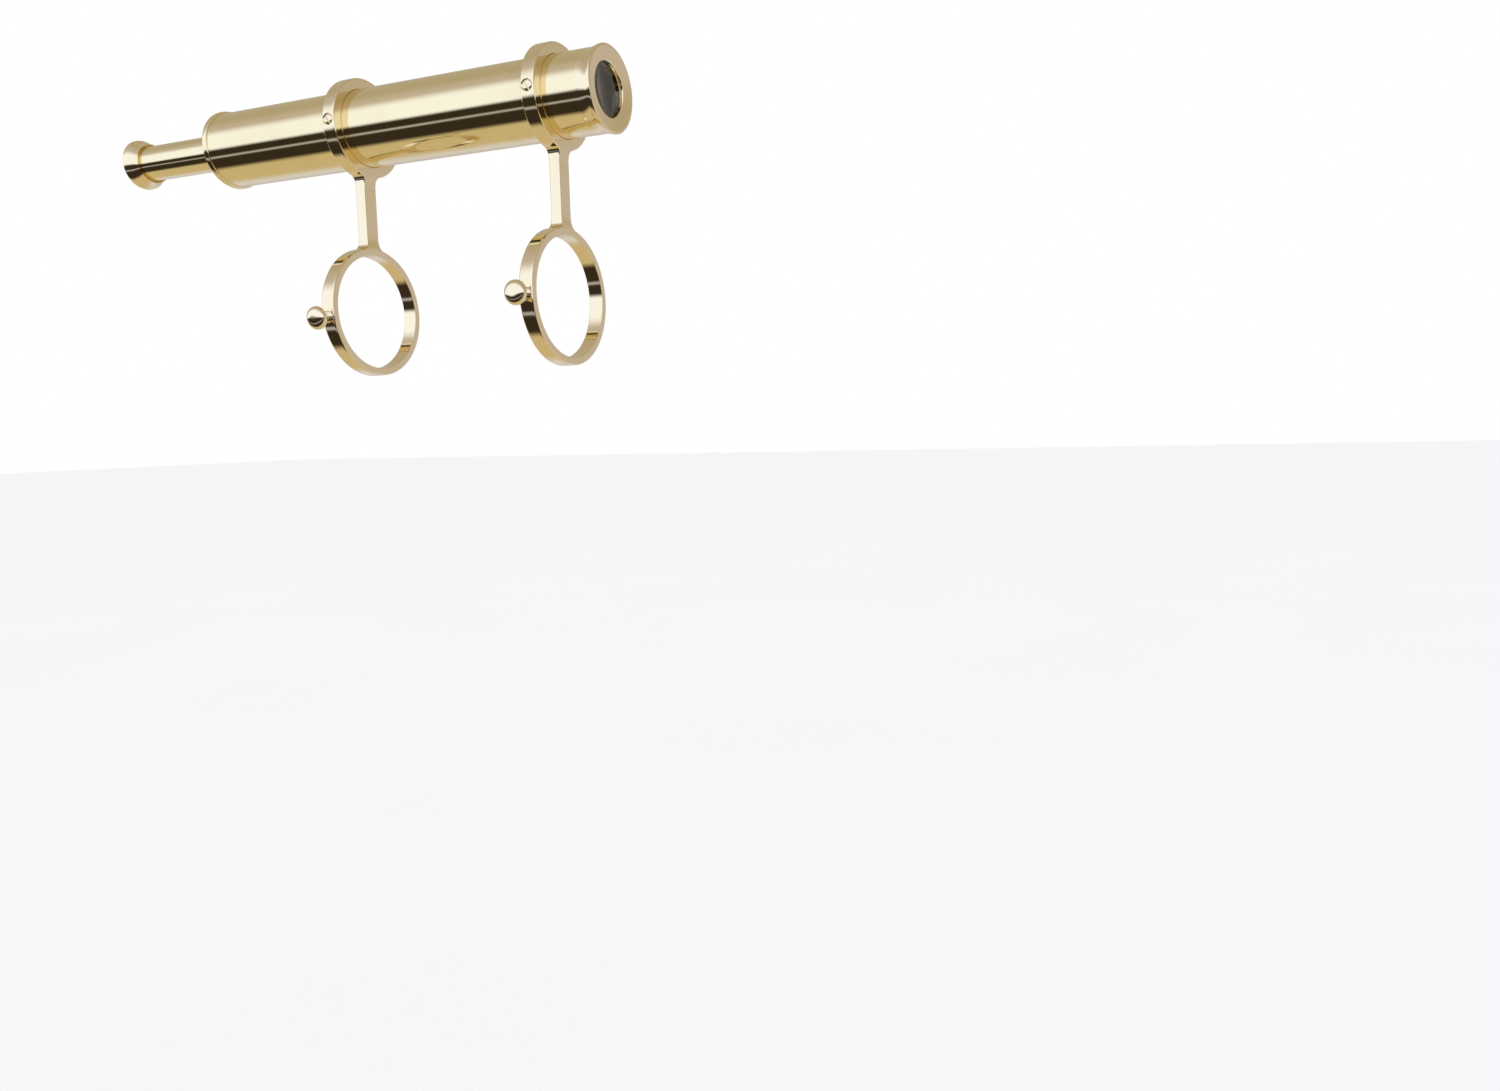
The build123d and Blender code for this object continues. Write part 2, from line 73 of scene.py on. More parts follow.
AXIS_HEIGHT = (BARREL_LOW.z + BARREL_HIGH.z) / 2
ON_AXIS = Matrix.Translation((0, 0, AXIS_HEIGHT))
BARREL_RADIUS = (BARREL_HIGH.y - BARREL_LOW.y) / 2
DRAW_RADIUS = (DRAW_HIGH.y - DRAW_LOW.y) / 2
BARREL_WALL = 1.0 * MM
DRAW_WALL = 0.8 * MM
SEAT = 0.02 * MM                   # clearance wherever one piece sits in another
IN_BARREL = BARREL_RADIUS - BARREL_WALL - SEAT
PLACES = ("rear", "front")
MOUNTS = {mount["name"]: mount for mount in frame["record"]["mounts"]}
RING_X = {place: MOUNTS[place + "_ring_bore"]["pos_m"][0] for place in PLACES}
MAIN_BORE = MOUNTS["rear_ring_bore"]["dims"]["r_mm"] * MM
SCREW_JOINTS = {place: joint for place in PLACES for joint in frame["joints"]
                if joint["name"] == place + "_screw_turn"}

OUTWARD = Vector((0, -1, 0))       # the way the ring screws face
SCREW_HOLE = 1.52 * MM             # radius of the hole for a ring screw
LINING_EDGE = 0.1 * MM             # lacquer covers faces up to this far outside a bore
SUPPORT = 0.25 * MM                # distance from a rounded corner to the loop that keeps a face flat
CORNER_STEP = math.radians(15)     # arc of a rounded corner between two points
SHARP_ANGLE = math.radians(32)     # edges that bend more than this stay crisp


# --- settings that a user would change ----------------------------------------------------------
def colour_setting(name, description, default):
    return FloatVectorProperty(name=name, description=description, default=default, subtype="COLOR",
                               min=0, max=1, size=3)


def length_setting(name, description, default):
    return FloatProperty(name=name, description=description, default=default, subtype="DISTANCE",
                         unit="LENGTH", precision=4)


class FinderShape(bpy.types.PropertyGroup):
    """Sizes of the details that the frame leaves open."""
    edge_softening: length_setting("Edge softening", "Rounding of the castings' outer edges", 0.8 * MM)
    bore_edge: length_setting("Bore edge", "Rounding of the castings' bores", 0.4 * MM)
    post_fillet: length_setting("Post fillet", "Radius where a post meets a ring", 3.4 * MM)
    slot_width: length_setting("Slot width", "Width of the ring screws' slots", 0.7 * MM)
    thread_pitch: length_setting("Thread pitch", "Advance of a thumb screw in one turn", 1.0 * MM)
    segments: IntProperty(name="Segments", description="Facets round a turned piece", default=256,
                          min=24, max=512)


class FinderFinish(bpy.types.PropertyGroup):
    """Colours and polish of the metals."""
    tube_colour: colour_setting("Tube brass", "Drawn yellow brass", (0.86, 0.745, 0.46))
    cast_colour: colour_setting("Cast brass", "Paler cast brass", (0.875, 0.75, 0.49))
    screw_colour: colour_setting("Screw brass", "Turned screw brass", (0.875, 0.75, 0.50))
    tarnish_colour: colour_setting("Tarnish", "Faint brown bloom on brass", (0.50, 0.33, 0.16))
    black_colour: colour_setting("Black lacquer", "Matt black inside the tubes", (0.018, 0.017, 0.016))
    tube_roughness: FloatProperty(name="Tube roughness", description="Roughness of the polished tubes",
                                  default=0.04, min=0, max=1, subtype="FACTOR")
    cast_roughness: FloatProperty(name="Casting roughness", description="Roughness of the castings",
                                  default=0.045, min=0, max=1, subtype="FACTOR")


class FinderStudio(bpy.types.PropertyGroup):
    """Camera and floor."""
    camera_place: FloatVectorProperty(name="Camera place", description="Where the camera stands",
                                      default=(0.4272, -0.4821, -0.06405), subtype="TRANSLATION",
                                      unit="LENGTH", size=3)
    camera_turn: FloatProperty(name="Camera turn", description="Turn to the left, from looking along +Y",
                               default=math.radians(24.10), subtype="ANGLE", unit="ROTATION")
    camera_dip: FloatProperty(name="Camera dip", description="Tilt below the horizontal",
                              default=math.radians(5.83), subtype="ANGLE", unit="ROTATION")
    camera_roll: FloatProperty(name="Camera roll", description="Roll about the line of sight",
                               default=math.radians(-1.478), subtype="ANGLE", unit="ROTATION")
    lens_length: FloatProperty(name="Lens", description="Focal length on a 36 mm wide sensor, in mm",
                               default=27.883, min=1)
    floor_height: length_setting("Floor height", "Height of the studio floor", -0.36)


def shape():
    return bpy.context.scene.finder_shape


def finish():
    return bpy.context.scene.finder_finish


# --- small helpers for node trees ---------------------------------------------------------------
def add(tree, kind, **settings):
    """A new node, with its settings."""
    node = tree.nodes.new(kind)
    for key, value in settings.items():
        setattr(node, key, value)
    return node


def feed(tree, node, **inputs):
    """Links or sets a node's inputs, by name with _ for a blank, or by number as in_0."""
    for key, value in inputs.items():
        if key.startswith("in_"):
            socket = node.inputs[int(key[3:])]
        else:
            socket = node.inputs[key.replace("_", " ")]
        if isinstance(value, bpy.types.NodeSocket):
            tree.links.new(value, socket)
        else:
            socket.default_value = value
    return node


def maths(tree, operation, *values, clamp=False):
    node = add(tree, "ShaderNodeMath", operation=operation, use_clamp=clamp)
    feed(tree, node, **{"in_%d" % i: value for i, value in enumerate(values)})
    return node.outputs[0]


def socket(tree, name, kind, out=False, default=None):
    made = tree.interface.new_socket(name=name, in_out="OUTPUT" if out else "INPUT", socket_type=kind)
    if default is not None:
        made.default_value = default
    return made


# --- turned pieces ------------------------------------------------------------------------------
@cache
def turned_tree():
    """Geometry Nodes tree that turns an outline of (x, radius) points about the X axis."""
    tree = bpy.data.node_groups.new("turned_part", "GeometryNodeTree")
    socket(tree, "Outline", "NodeSocketGeometry")
    socket(tree, "Segments", "NodeSocketInt", default=256)
    socket(tree, "Sharp Angle", "NodeSocketFloat", default=SHARP_ANGLE)
    socket(tree, "Thread Depth", "NodeSocketFloat", default=0.0)
    socket(tree, "Thread Pitch", "NodeSocketFloat", default=1.0 * MM)
    socket(tree, "Thread Radius", "NodeSocketFloat", default=0.0)
    socket(tree, "Skin", "NodeSocketMaterial")
    socket(tree, "Lining", "NodeSocketMaterial")
    socket(tree, "Lining Radius", "NodeSocketFloat", default=0.0)
    socket(tree, "Piece", "NodeSocketGeometry", out=True)
    given = add(tree, "NodeGroupInput").outputs
    size = add(tree, "GeometryNodeAttributeDomainSize", component="MESH")
    feed(tree, size, Geometry=given["Outline"])
    points = size.outputs["Point Count"]
    columns = maths(tree, "ADD", given["Segments"], 1)
    grid = feed(tree, add(tree, "GeometryNodeMeshGrid"), Vertices_X=columns, Vertices_Y=points)
    index = add(tree, "GeometryNodeInputIndex").outputs["Index"]
    column = maths(tree, "FLOOR", maths(tree, "DIVIDE", maths(tree, "ADD", index, 0.5), points))
    row = maths(tree, "SUBTRACT", index, maths(tree, "MULTIPLY", column, points))
    angle = maths(tree, "DIVIDE", maths(tree, "MULTIPLY", column, math.tau), given["Segments"])
    corner = add(tree, "GeometryNodeSampleIndex", data_type="FLOAT_VECTOR", domain="POINT")
    position = add(tree, "GeometryNodeInputPosition").outputs["Position"]
    feed(tree, corner, Geometry=given["Outline"], Value=position, Index=row)
    split = feed(tree, add(tree, "ShaderNodeSeparateXYZ"), Vector=corner.outputs["Value"])
    along, radius = split.outputs["X"], split.outputs["Z"]
    # A thread is a groove that winds round where the outline stands at the thread's radius.
    on_thread = maths(tree, "COMPARE", radius, given["Thread Radius"], 0.001 * MM)
    turns = maths(tree, "DIVIDE", along, given["Thread Pitch"])
    winding = maths(tree, "SUBTRACT", maths(tree, "MULTIPLY", turns, math.tau), angle)
    groove = maths(tree, "MULTIPLY_ADD", maths(tree, "COSINE", winding), 0.5, 0.5)
    cut = maths(tree, "MULTIPLY", maths(tree, "MULTIPLY", groove, given["Thread Depth"]), on_thread)
    reach = maths(tree, "SUBTRACT", radius, cut)
    across = maths(tree, "MULTIPLY", maths(tree, "MULTIPLY", reach, maths(tree, "COSINE", angle)), -1)
    up = maths(tree, "MULTIPLY", maths(tree, "MULTIPLY", reach, maths(tree, "SINE", angle)), -1)
    place = feed(tree, add(tree, "ShaderNodeCombineXYZ"), X=along, Y=across, Z=up)
    turned = feed(tree, add(tree, "GeometryNodeSetPosition"), Geometry=grid.outputs["Mesh"],
                  Position=place.outputs["Vector"])
    joined = feed(tree, add(tree, "GeometryNodeMergeByDistance"), Geometry=turned.outputs["Geometry"],
                  Distance=0.0005 * MM)
    smooth = feed(tree, add(tree, "GeometryNodeSetShadeSmooth", domain="FACE"),
                  Geometry=joined.outputs["Geometry"])
    bend = add(tree, "GeometryNodeInputMeshEdgeAngle").outputs["Unsigned Angle"]
    compare = add(tree, "FunctionNodeCompare", data_type="FLOAT", operation="GREATER_THAN")
    feed(tree, compare, A=bend, B=given["Sharp Angle"])
    crisp = add(tree, "GeometryNodeSetShadeSmooth", domain="EDGE")
    feed(tree, crisp, Geometry=smooth.outputs["Geometry"], Selection=compare.outputs["Result"],
         Shade_Smooth=False)
    solid = feed(tree, add(tree, "GeometryNodeRealizeInstances"), Geometry=crisp.outputs["Geometry"])
    skinned = feed(tree, add(tree, "GeometryNodeSetMaterial"), Geometry=solid.outputs["Geometry"],
                   Material=given["Skin"])
    here = feed(tree, add(tree, "ShaderNodeSeparateXYZ"), Vector=position)
    flat = feed(tree, add(tree, "ShaderNodeCombineXYZ"), Y=here.outputs["Y"], Z=here.outputs["Z"])
    girth = add(tree, "ShaderNodeVectorMath", operation="LENGTH")
    feed(tree, girth, in_0=flat.outputs["Vector"])
    inside = add(tree, "FunctionNodeCompare", data_type="FLOAT", operation="LESS_THAN")
    feed(tree, inside, A=girth.outputs["Value"], B=given["Lining Radius"])
    lined = feed(tree, add(tree, "GeometryNodeSetMaterial"), Geometry=skinned.outputs["Geometry"],
                 Selection=inside.outputs["Result"], Material=given["Lining"])
    feed(tree, add(tree, "NodeGroupOutput"), Piece=lined.outputs["Geometry"])
    return tree


def make_plain(thing):
    """Turns an object's modifiers into its plain mesh."""
    bpy.context.view_layer.update()
    graph = bpy.context.evaluated_depsgraph_get()
    mesh = bpy.data.meshes.new_from_object(thing.evaluated_get(graph), preserve_all_data_layers=True,
                                           depsgraph=graph)
    thing.modifiers.clear()
    thing.data = mesh
    mesh.name = thing.name
    if mesh.materials and mesh.materials[0] is None:
        mesh.materials.pop(index=0)
    return thing


def run_tree(thing, tree, values):
    """Puts a Geometry Nodes tree on an object, sets its inputs and makes the result plain."""
    modifier = thing.modifiers.new(tree.name, "NODES")
    modifier.node_group = tree
    for item in tree.interface.items_tree:
        if item.in_out == "INPUT" and item.name in values:
            modifier[item.identifier] = values[item.name]
    return make_plain(thing)


def new_object(name, mesh):
    thing = bpy.data.objects.new(name, mesh)
    bpy.context.scene.collection.objects.link(thing)
    return thing


def turn(name, outline, skin, place, lining=None, lining_radius=0.0, segments=None, thread=None):
    """A turned piece. Its outline runs forward along the outside and back along the inside."""
    mesh = bpy.data.meshes.new(name)
    mesh.from_pydata([(x, 0, radius) for x, radius in outline], [], [])
    thing = new_object(name, mesh)
    values = {"Segments": segments or shape().segments, "Sharp Angle": SHARP_ANGLE, "Skin": skin,
              "Lining": lining or skin, "Lining Radius": lining_radius}
    if thread:
        values.update(thread)
    run_tree(thing, turned_tree(), values)
    thing.data.transform(place)
    return thing


def rounded(corners, closed=True):
    """Outline points from (x, radius) corners, or (x, radius, rounding) for a rounded one, which
    gets an arc and a support point on each side."""
    points = []
    count = len(corners)
    for i, corner in enumerate(corners):
        here = Vector(corner[:2])
        rounding = corner[2] if len(corner) > 2 else 0
        if not rounding:
            points.append(here)
            continue
        before = (Vector(corners[i - 1][:2]) - here)
        after = (Vector(corners[(i + 1) % count][:2]) - here)
        turn_angle = math.pi - before.angle(after)
        reach = rounding * math.tan(turn_angle / 2)
        start = here + before.normalized() * reach
        end = here + after.normalized() * reach
        bisector = (before.normalized() + after.normalized()).normalized()
        centre = here + bisector * (rounding / math.cos(turn_angle / 2))
        steps = max(2, math.ceil(turn_angle / CORNER_STEP))
        points.append(start + before.normalized() * min(SUPPORT, max(0, before.length - reach) / 2))
        first, last = start - centre, end - centre
        for step in range(steps + 1):
            share = step / steps
            weight_a = math.sin((1 - share) * turn_angle) / math.sin(turn_angle)
            weight_b = math.sin(share * turn_angle) / math.sin(turn_angle)
            points.append(centre + first * weight_a + last * weight_b)
        points.append(end + after.normalized() * min(SUPPORT, max(0, after.length - reach) / 2))
    if closed:
        points.append(points[0])
    return [tuple(point) for point in points]


def arc(start, through, end, steps):
    """Points of the circular arc from start to end through a third point, ends included."""
    (ax, ay), (bx, by), (cx, cy) = start, through, end
    scale = 2 * (ax * (by - cy) + bx * (cy - ay) + cx * (ay - by))
    a2, b2, c2 = ax * ax + ay * ay, bx * bx + by * by, cx * cx + cy * cy
    ux = (a2 * (by - cy) + b2 * (cy - ay) + c2 * (ay - by)) / scale
    uy = (a2 * (cx - bx) + b2 * (ax - cx) + c2 * (bx - ax)) / scale
    radius = math.hypot(ax - ux, ay - uy)
    first = math.atan2(ay - uy, ax - ux)
    sweep = math.atan2(cy - uy, cx - ux) - first
    middle = math.atan2(by - uy, bx - ux) - first
    sweep, middle = sweep % math.tau, middle % math.tau
    if middle > sweep:
        sweep -= math.tau
    angles = [first + sweep * i / steps for i in range(steps + 1)]
    return [(ux + radius * math.cos(angle), uy + radius * math.sin(angle)) for angle in angles]


def finish_piece(thing, body, slot, *nodes):
    """Parents a finished piece to its body's empty and hides the CAD nodes that it stands in for."""
    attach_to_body(thing, body)
    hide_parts(*nodes)


# --- shader node groups -------------------------------------------------------------------------
def shader_group(name, inputs, outputs):
    """A new shader node group, with its input and output nodes' sockets by name."""
    tree = bpy.data.node_groups.new(name, "ShaderNodeTree")
    for label, (kind, default) in inputs.items():
        socket(tree, label, kind, default=default)
    for label, kind in outputs.items():
        socket(tree, label, kind, out=True)
    return tree, add(tree, "NodeGroupInput").outputs, add(tree, "NodeGroupOutput")


def noise(tree, vector, scale, detail=2.0, roughness=0.5):
    node = add(tree, "ShaderNodeTexNoise")
    feed(tree, node, Vector=vector, Scale=scale, Detail=detail, Roughness=roughness)
    return node.outputs[0]


def spread(tree, value, low, high, to_low=0.0, to_high=1.0):
    """Maps a value's range to another, smoothly and clamped."""
    node = add(tree, "ShaderNodeMapRange", interpolation_type="SMOOTHSTEP")
    feed(tree, node, Value=value, From_Min=low, From_Max=high, To_Min=to_low, To_Max=to_high)
    return node.outputs[0]


@cache
def polishing_group():
    """Marks of the buffing wheel: fine lines drawn out along one direction, over a slow ripple."""
    tree, given, made = shader_group(
        "polishing_marks",
        {"Vector": ("NodeSocketVector", None), "Stretch": ("NodeSocketVector", (0.03, 1, 1)),
         "Line Scale": ("NodeSocketFloat", 2600.0), "Ripple Scale": ("NodeSocketFloat", 90.0),
         "Ripple": ("NodeSocketFloat", 0.5)},
        {"Height": "NodeSocketFloat", "Lines": "NodeSocketFloat"})
    drawn = add(tree, "ShaderNodeVectorMath", operation="MULTIPLY")
    feed(tree, drawn, in_0=given["Vector"], in_1=given["Stretch"])
    lines = noise(tree, drawn.outputs[0], given["Line Scale"], detail=3.0)
    ripple = noise(tree, given["Vector"], given["Ripple Scale"], detail=1.0)
    height = maths(tree, "MULTIPLY_ADD", ripple, given["Ripple"], maths(tree, "MULTIPLY", lines, 0.02))
    feed(tree, made, Height=height, Lines=spread(tree, lines, 0.35, 0.75))
    return tree


@cache
def handling_group():
    """Where the metal has been touched: soft smudges, and small patches of bloom."""
    tree, given, made = shader_group(
        "handling",
        {"Vector": ("NodeSocketVector", None), "Smudge Scale": ("NodeSocketFloat", 60.0),
         "Bloom Scale": ("NodeSocketFloat", 35.0)},
        {"Smudge": "NodeSocketFloat", "Bloom": "NodeSocketFloat"})
    smudge = noise(tree, given["Vector"], given["Smudge Scale"], detail=4.0, roughness=0.6)
    bloom = noise(tree, given["Vector"], given["Bloom Scale"], detail=5.0, roughness=0.65)
    feed(tree, made, Smudge=spread(tree, smudge, 0.42, 0.72), Bloom=spread(tree, bloom, 0.45, 0.8))
    return tree


@cache
def specks_group():
    """Settled dust and tiny pits: sparse round specks."""
    tree, given, made = shader_group(
        "specks",
        {"Vector": ("NodeSocketVector", None), "Scale": ("NodeSocketFloat", 700.0),
         "Size": ("NodeSocketFloat", 0.12)},
        {"Mask": "NodeSocketFloat"})
    cells = add(tree, "ShaderNodeTexVoronoi", feature="F1")
    feed(tree, cells, Vector=given["Vector"], Scale=given["Scale"])
    near = maths(tree, "LESS_THAN", cells.outputs["Distance"], given["Size"])
    chosen = maths(tree, "GREATER_THAN", noise(tree, given["Vector"], 160.0, detail=1.0), 0.6)
    feed(tree, made, Mask=maths(tree, "MULTIPLY", near, chosen))
    return tree


# --- materials ----------------------------------------------------------------------------------
def new_material(name):
    """A material with its shader, its object coordinates and its tree."""
    material = bpy.data.materials.new(name)
    material.use_nodes = True
    tree = material.node_tree
    shader = tree.nodes["Principled BSDF"]
    coordinates = add(tree, "ShaderNodeTexCoord").outputs["Object"]
    return material, tree, shader, coordinates


def use_group(tree, group, **inputs):
    node = add(tree, "ShaderNodeGroup", node_tree=group)
    return feed(tree, node, **inputs).outputs


def mixed(tree, share, first, second):
    node = add(tree, "ShaderNodeMix", data_type="RGBA")
    for index, value in ((0, share), (6, first), (7, second)):
        feed(tree, node, **{"in_%d" % index: value})
    return node.outputs[2]


def bumped(tree, height, strength, distance):
    node = add(tree, "ShaderNodeBump")
    feed(tree, node, Height=height, Strength=strength, Distance=distance)
    return node.outputs["Normal"]


def opaque(colour):
    return (*colour, 1.0)


def polished_brass(name, colour, roughness, stretch, ripple, bloom_amount):
    """Hand-polished brass. It differs between tubes, castings and screws only in these values."""
    dust_colour = (0.55, 0.5, 0.42)
    dust_cover = 0.25
    smudge_dulls = 0.035
    lines_dull = 0.02
    mark_depth = 0.05 * MM
    material, tree, shader, here = new_material(name)
    marks = use_group(tree, polishing_group(), Vector=here, Stretch=stretch, Ripple=ripple)
    touch = use_group(tree, handling_group(), Vector=here)
    specks = use_group(tree, specks_group(), Vector=here)
    bloom = maths(tree, "MULTIPLY", touch["Bloom"], bloom_amount)
    metal = mixed(tree, bloom, opaque(colour), opaque(finish().tarnish_colour))
    dusty = mixed(tree, maths(tree, "MULTIPLY", specks["Mask"], dust_cover), metal, opaque(dust_colour))
    smudged = maths(tree, "MULTIPLY_ADD", touch["Smudge"], smudge_dulls, roughness)
    lined = maths(tree, "MULTIPLY_ADD", marks["Lines"], lines_dull, smudged)
    feed(tree, shader, Base_Color=dusty, Roughness=lined, Metallic=1.0,
         Normal=bumped(tree, marks["Height"], 0.12, mark_depth))
    return material


@cache
def tube_brass():
    return polished_brass("polished_tube", finish().tube_colour, finish().tube_roughness,
                          stretch=(0.03, 1, 1), ripple=0.25, bloom_amount=0.12)


@cache
def cast_brass():
    return polished_brass("polished_casting", finish().cast_colour, finish().cast_roughness,
                          stretch=(1, 0.06, 0.4), ripple=0.35, bloom_amount=0.1)


@cache
def screw_brass():
    return polished_brass("polished_screw", finish().screw_colour, finish().cast_roughness,
                          stretch=(1, 0.2, 1), ripple=0.6, bloom_amount=0.14)


@cache
def black_lacquer():
    """Matt black against glare, worn thin in places."""
    material, tree, shader, here = new_material("matt_lacquer")
    grain = noise(tree, here, 2200.0, detail=3.0)
    touch = use_group(tree, handling_group(), Vector=here)
    colour = mixed(tree, touch["Bloom"], opaque(finish().black_colour), (0.05, 0.043, 0.035, 1))
    feed(tree, shader, Base_Color=colour, Roughness=spread(tree, grain, 0.3, 0.7, 0.45, 0.7),
         Normal=bumped(tree, grain, 0.3, 0.03 * MM))
    return material


@cache
def lens_glass():
    """Coated optical glass with a trace of smudges. Its low index gives the coating's faint reflections."""
    material, tree, shader, here = new_material("optical_glass")
    touch = use_group(tree, handling_group(), Vector=here)
    colour = mixed(tree, touch["Bloom"], (0.93, 0.90, 0.85, 1), (0.88, 0.85, 0.8, 1))
    feed(tree, shader, Base_Color=colour, Roughness=maths(tree, "MULTIPLY", touch["Smudge"], 0.03),
         IOR=1.3, Metallic=0.0, Transmission_Weight=1.0)
    return material


@cache
def drawn_wire():
    material, tree, shader, here = new_material("drawn_wire")
    marks = use_group(tree, polishing_group(), Vector=here)
    colour = mixed(tree, marks["Lines"], (0.42, 0.42, 0.43, 1), (0.55, 0.55, 0.56, 1))
    feed(tree, shader, Base_Color=colour, Roughness=spread(tree, marks["Lines"], 0, 1, 0.25, 0.4),
         Metallic=1.0)
    return material


@cache
def nylon():
    """Natural nylon of the clamp pads."""
    material, tree, shader, here = new_material("natural_nylon")
    grain = noise(tree, here, 900.0, detail=3.0)
    colour = mixed(tree, spread(tree, grain, 0.3, 0.7), (0.78, 0.75, 0.66, 1), (0.86, 0.84, 0.77, 1))
    feed(tree, shader, Base_Color=colour, Roughness=spread(tree, grain, 0.3, 0.7, 0.4, 0.55),
         Normal=bumped(tree, grain, 0.2, 0.02 * MM))
    return material


# --- barrel and objective -----------------------------------------------------------------------
def make_barrel():
    rear, front = BARREL_LOW.x, BARREL_HIGH.x
    bore = BARREL_RADIUS - BARREL_WALL
    near_screw = 3.0 * MM         # loops on each side of a ring screw, hidden under the ring
    outline = [(rear, BARREL_RADIUS)]
    for x_ring in RING_X.values():
        outline += [(x_ring - near_screw, BARREL_RADIUS), (x_ring + near_screw, BARREL_RADIUS)]
    outline += [(front, BARREL_RADIUS), (front, bore), (rear, bore), (rear, BARREL_RADIUS)]
    thing = turn("barrel_tube.skin", outline, tube_brass(), ON_AXIS, black_lacquer(), bore + LINING_EDGE)
    well_inside, well_outside = bore * 0.8, BARREL_RADIUS * 1.2
    for x_ring in RING_X.values():
        centre = Vector((x_ring, 0, AXIS_HEIGHT))
        cut(thing, drill("screw_hole", centre, OUTWARD, well_inside, well_outside, SCREW_HOLE, segments=32))
    shade_by_angle(thing)
    finish_piece(thing, "scope", "drawn_brass", "barrel_tube")


def make_bezel():
    front = BEZEL_HIGH.x
    flange = (BEZEL_HIGH.y - BEZEL_LOW.y) / 2
    spigot_rear = BEZEL_LOW.x
    shoulder = BARREL_HIGH.x
    rim_round = 1.2 * MM
    flare_bow = 0.25 * MM
    aperture = 12.4 * MM
    dish = 1.2 * MM
    lip = 2.0 * MM
    aperture_round = 0.9 * MM
    back_round = 0.2 * MM
    seat = 14.42 * MM
    flare_middle = 4.4 * MM
    lip_front = front - dish
    flare = arc((shoulder, BARREL_RADIUS), (shoulder + flare_middle, BARREL_RADIUS + flare_bow),
                (front - rim_round, flange), 10)
    corners = [(spigot_rear, IN_BARREL), (shoulder, IN_BARREL)] + flare[:-1]
    corners += [(front - 0.25 * MM, flange + 0.02 * MM, 0.55 * MM), (front, flange - rim_round, 0.5 * MM),
                (lip_front, aperture, aperture_round), (lip_front - lip, aperture, back_round),
                (lip_front - lip, seat), (spigot_rear, seat)]
    thing = turn("objective_bezel.skin", rounded(corners), cast_brass(), ON_AXIS, black_lacquer(),
                 seat + LINING_EDGE)
    keep_lip_bright(thing, aperture + 1.5 * MM, lip_front - lip)
    finish_piece(thing, "scope", "cast_brass", "objective_bezel")


def keep_lip_bright(thing, radius, x_from):
    """The lip in front of the glass stays polished: only the seat behind it is blackened."""
    skin_index = thing.data.materials.find(cast_brass().name)
    for face in thing.data.polygons:
        centre = face.center
        girth = math.hypot(centre.y, centre.z - AXIS_HEIGHT)
        if centre.x > x_from and girth < radius:
            face.material_index = skin_index


def lens_outline(node, front_bulge, back_bulge):
    """Outline of a lens from its CAD node's box. A positive bulge is convex, a negative one hollow."""
    low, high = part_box(node)
    half_width = (high.y - low.y) / 2
    steps = 16
    front_vertex = high.x if front_bulge >= 0 else high.x + front_bulge
    back_vertex = low.x if back_bulge >= 0 else low.x - back_bulge
    edge = 0.15 * MM

    def side(vertex, bulge):
        """Points from the axis to the rim."""
        points = []
        for i in range(steps + 1):
            radius = half_width * i / steps
            if bulge:
                curve = (half_width ** 2 + bulge ** 2) / (2 * abs(bulge))
                drop = (curve - math.sqrt(curve ** 2 - radius ** 2)) * math.copysign(1, bulge)
            else:
                drop = 0.0
            points.append((vertex + drop, radius))
        return points

    back = side(back_vertex, back_bulge)
    front = [(2 * front_vertex - x, radius) for x, radius in side(front_vertex, front_bulge)]
    rim = [(back[-1][0] + edge, half_width), (front[-1][0] - edge, half_width)]
    return back + rim + front[::-1]


LENSES = {
    # node: (body, bulge of the front face, bulge of the back face)
    "objective_crown_lens": ("scope", 1.3 * MM, 1.75 * MM),
    "objective_flint_lens": ("scope", -1.75 * MM, 0.0),
    "eye_lens": ("draw", 1.8 * MM, 0.0),
    "field_lens": ("draw", 0.0, 1.4 * MM),
    "erector_front_lens": ("draw", 1.6 * MM, 0.0),
    "erector_rear_lens": ("draw", 0.0, 1.6 * MM),
}


def make_lenses():
    for node, (body, front_bulge, back_bulge) in LENSES.items():
        outline = lens_outline(node, front_bulge, back_bulge)
        thing = turn(node + ".glass", outline, lens_glass(), ON_AXIS, segments=128)
        finish_piece(thing, body, "lens_glass", node)


def make_end_cap():
    rear, front = END_CAP_LOW.x, END_CAP_HIGH.x
    rim = (END_CAP_HIGH.y - END_CAP_LOW.y) / 2
    rim_front = BARREL_LOW.x
    bead_round = rim - BARREL_RADIUS
    bore = (BUSH_HIGH.y - BUSH_LOW.y) / 2
    collar = 10.42 * MM
    plate_thickness, spigot_wall = 3.0 * MM, 2.2 * MM
    plate_front = rear + plate_thickness
    spigot_bore = IN_BARREL - spigot_wall
    corners = [(rear, collar + SEAT, 0.15 * MM), (rear, rim, bead_round), (rim_front, rim, bead_round),
               (rim_front, IN_BARREL), (front, IN_BARREL), (front, spigot_bore), (plate_front, spigot_bore),
               (plate_front, collar + SEAT)]
    thing = turn("rear_end_cap.skin", rounded(corners), tube_brass(), ON_AXIS)
    finish_piece(thing, "scope", "drawn_brass", "rear_end_cap")

    collar_rear, nose_front = BUSH_LOW.x, BUSH_HIGH.x
    slide_room, step_length = 0.05 * MM, 2.5 * MM
    slide = DRAW_RADIUS + slide_room
    nose = 10.7 * MM
    step_front = plate_front + step_length
    corners = [(collar_rear, slide, 0.2 * MM), (collar_rear, collar, 0.6 * MM), (plate_front, collar),
               (plate_front, bore), (step_front, bore), (step_front, nose), (nose_front, nose),
               (nose_front, slide)]
    thing = turn("draw_tube_bush.skin", rounded(corners), tube_brass(), ON_AXIS)
    finish_piece(thing, "scope", "drawn_brass", "draw_tube_bush")


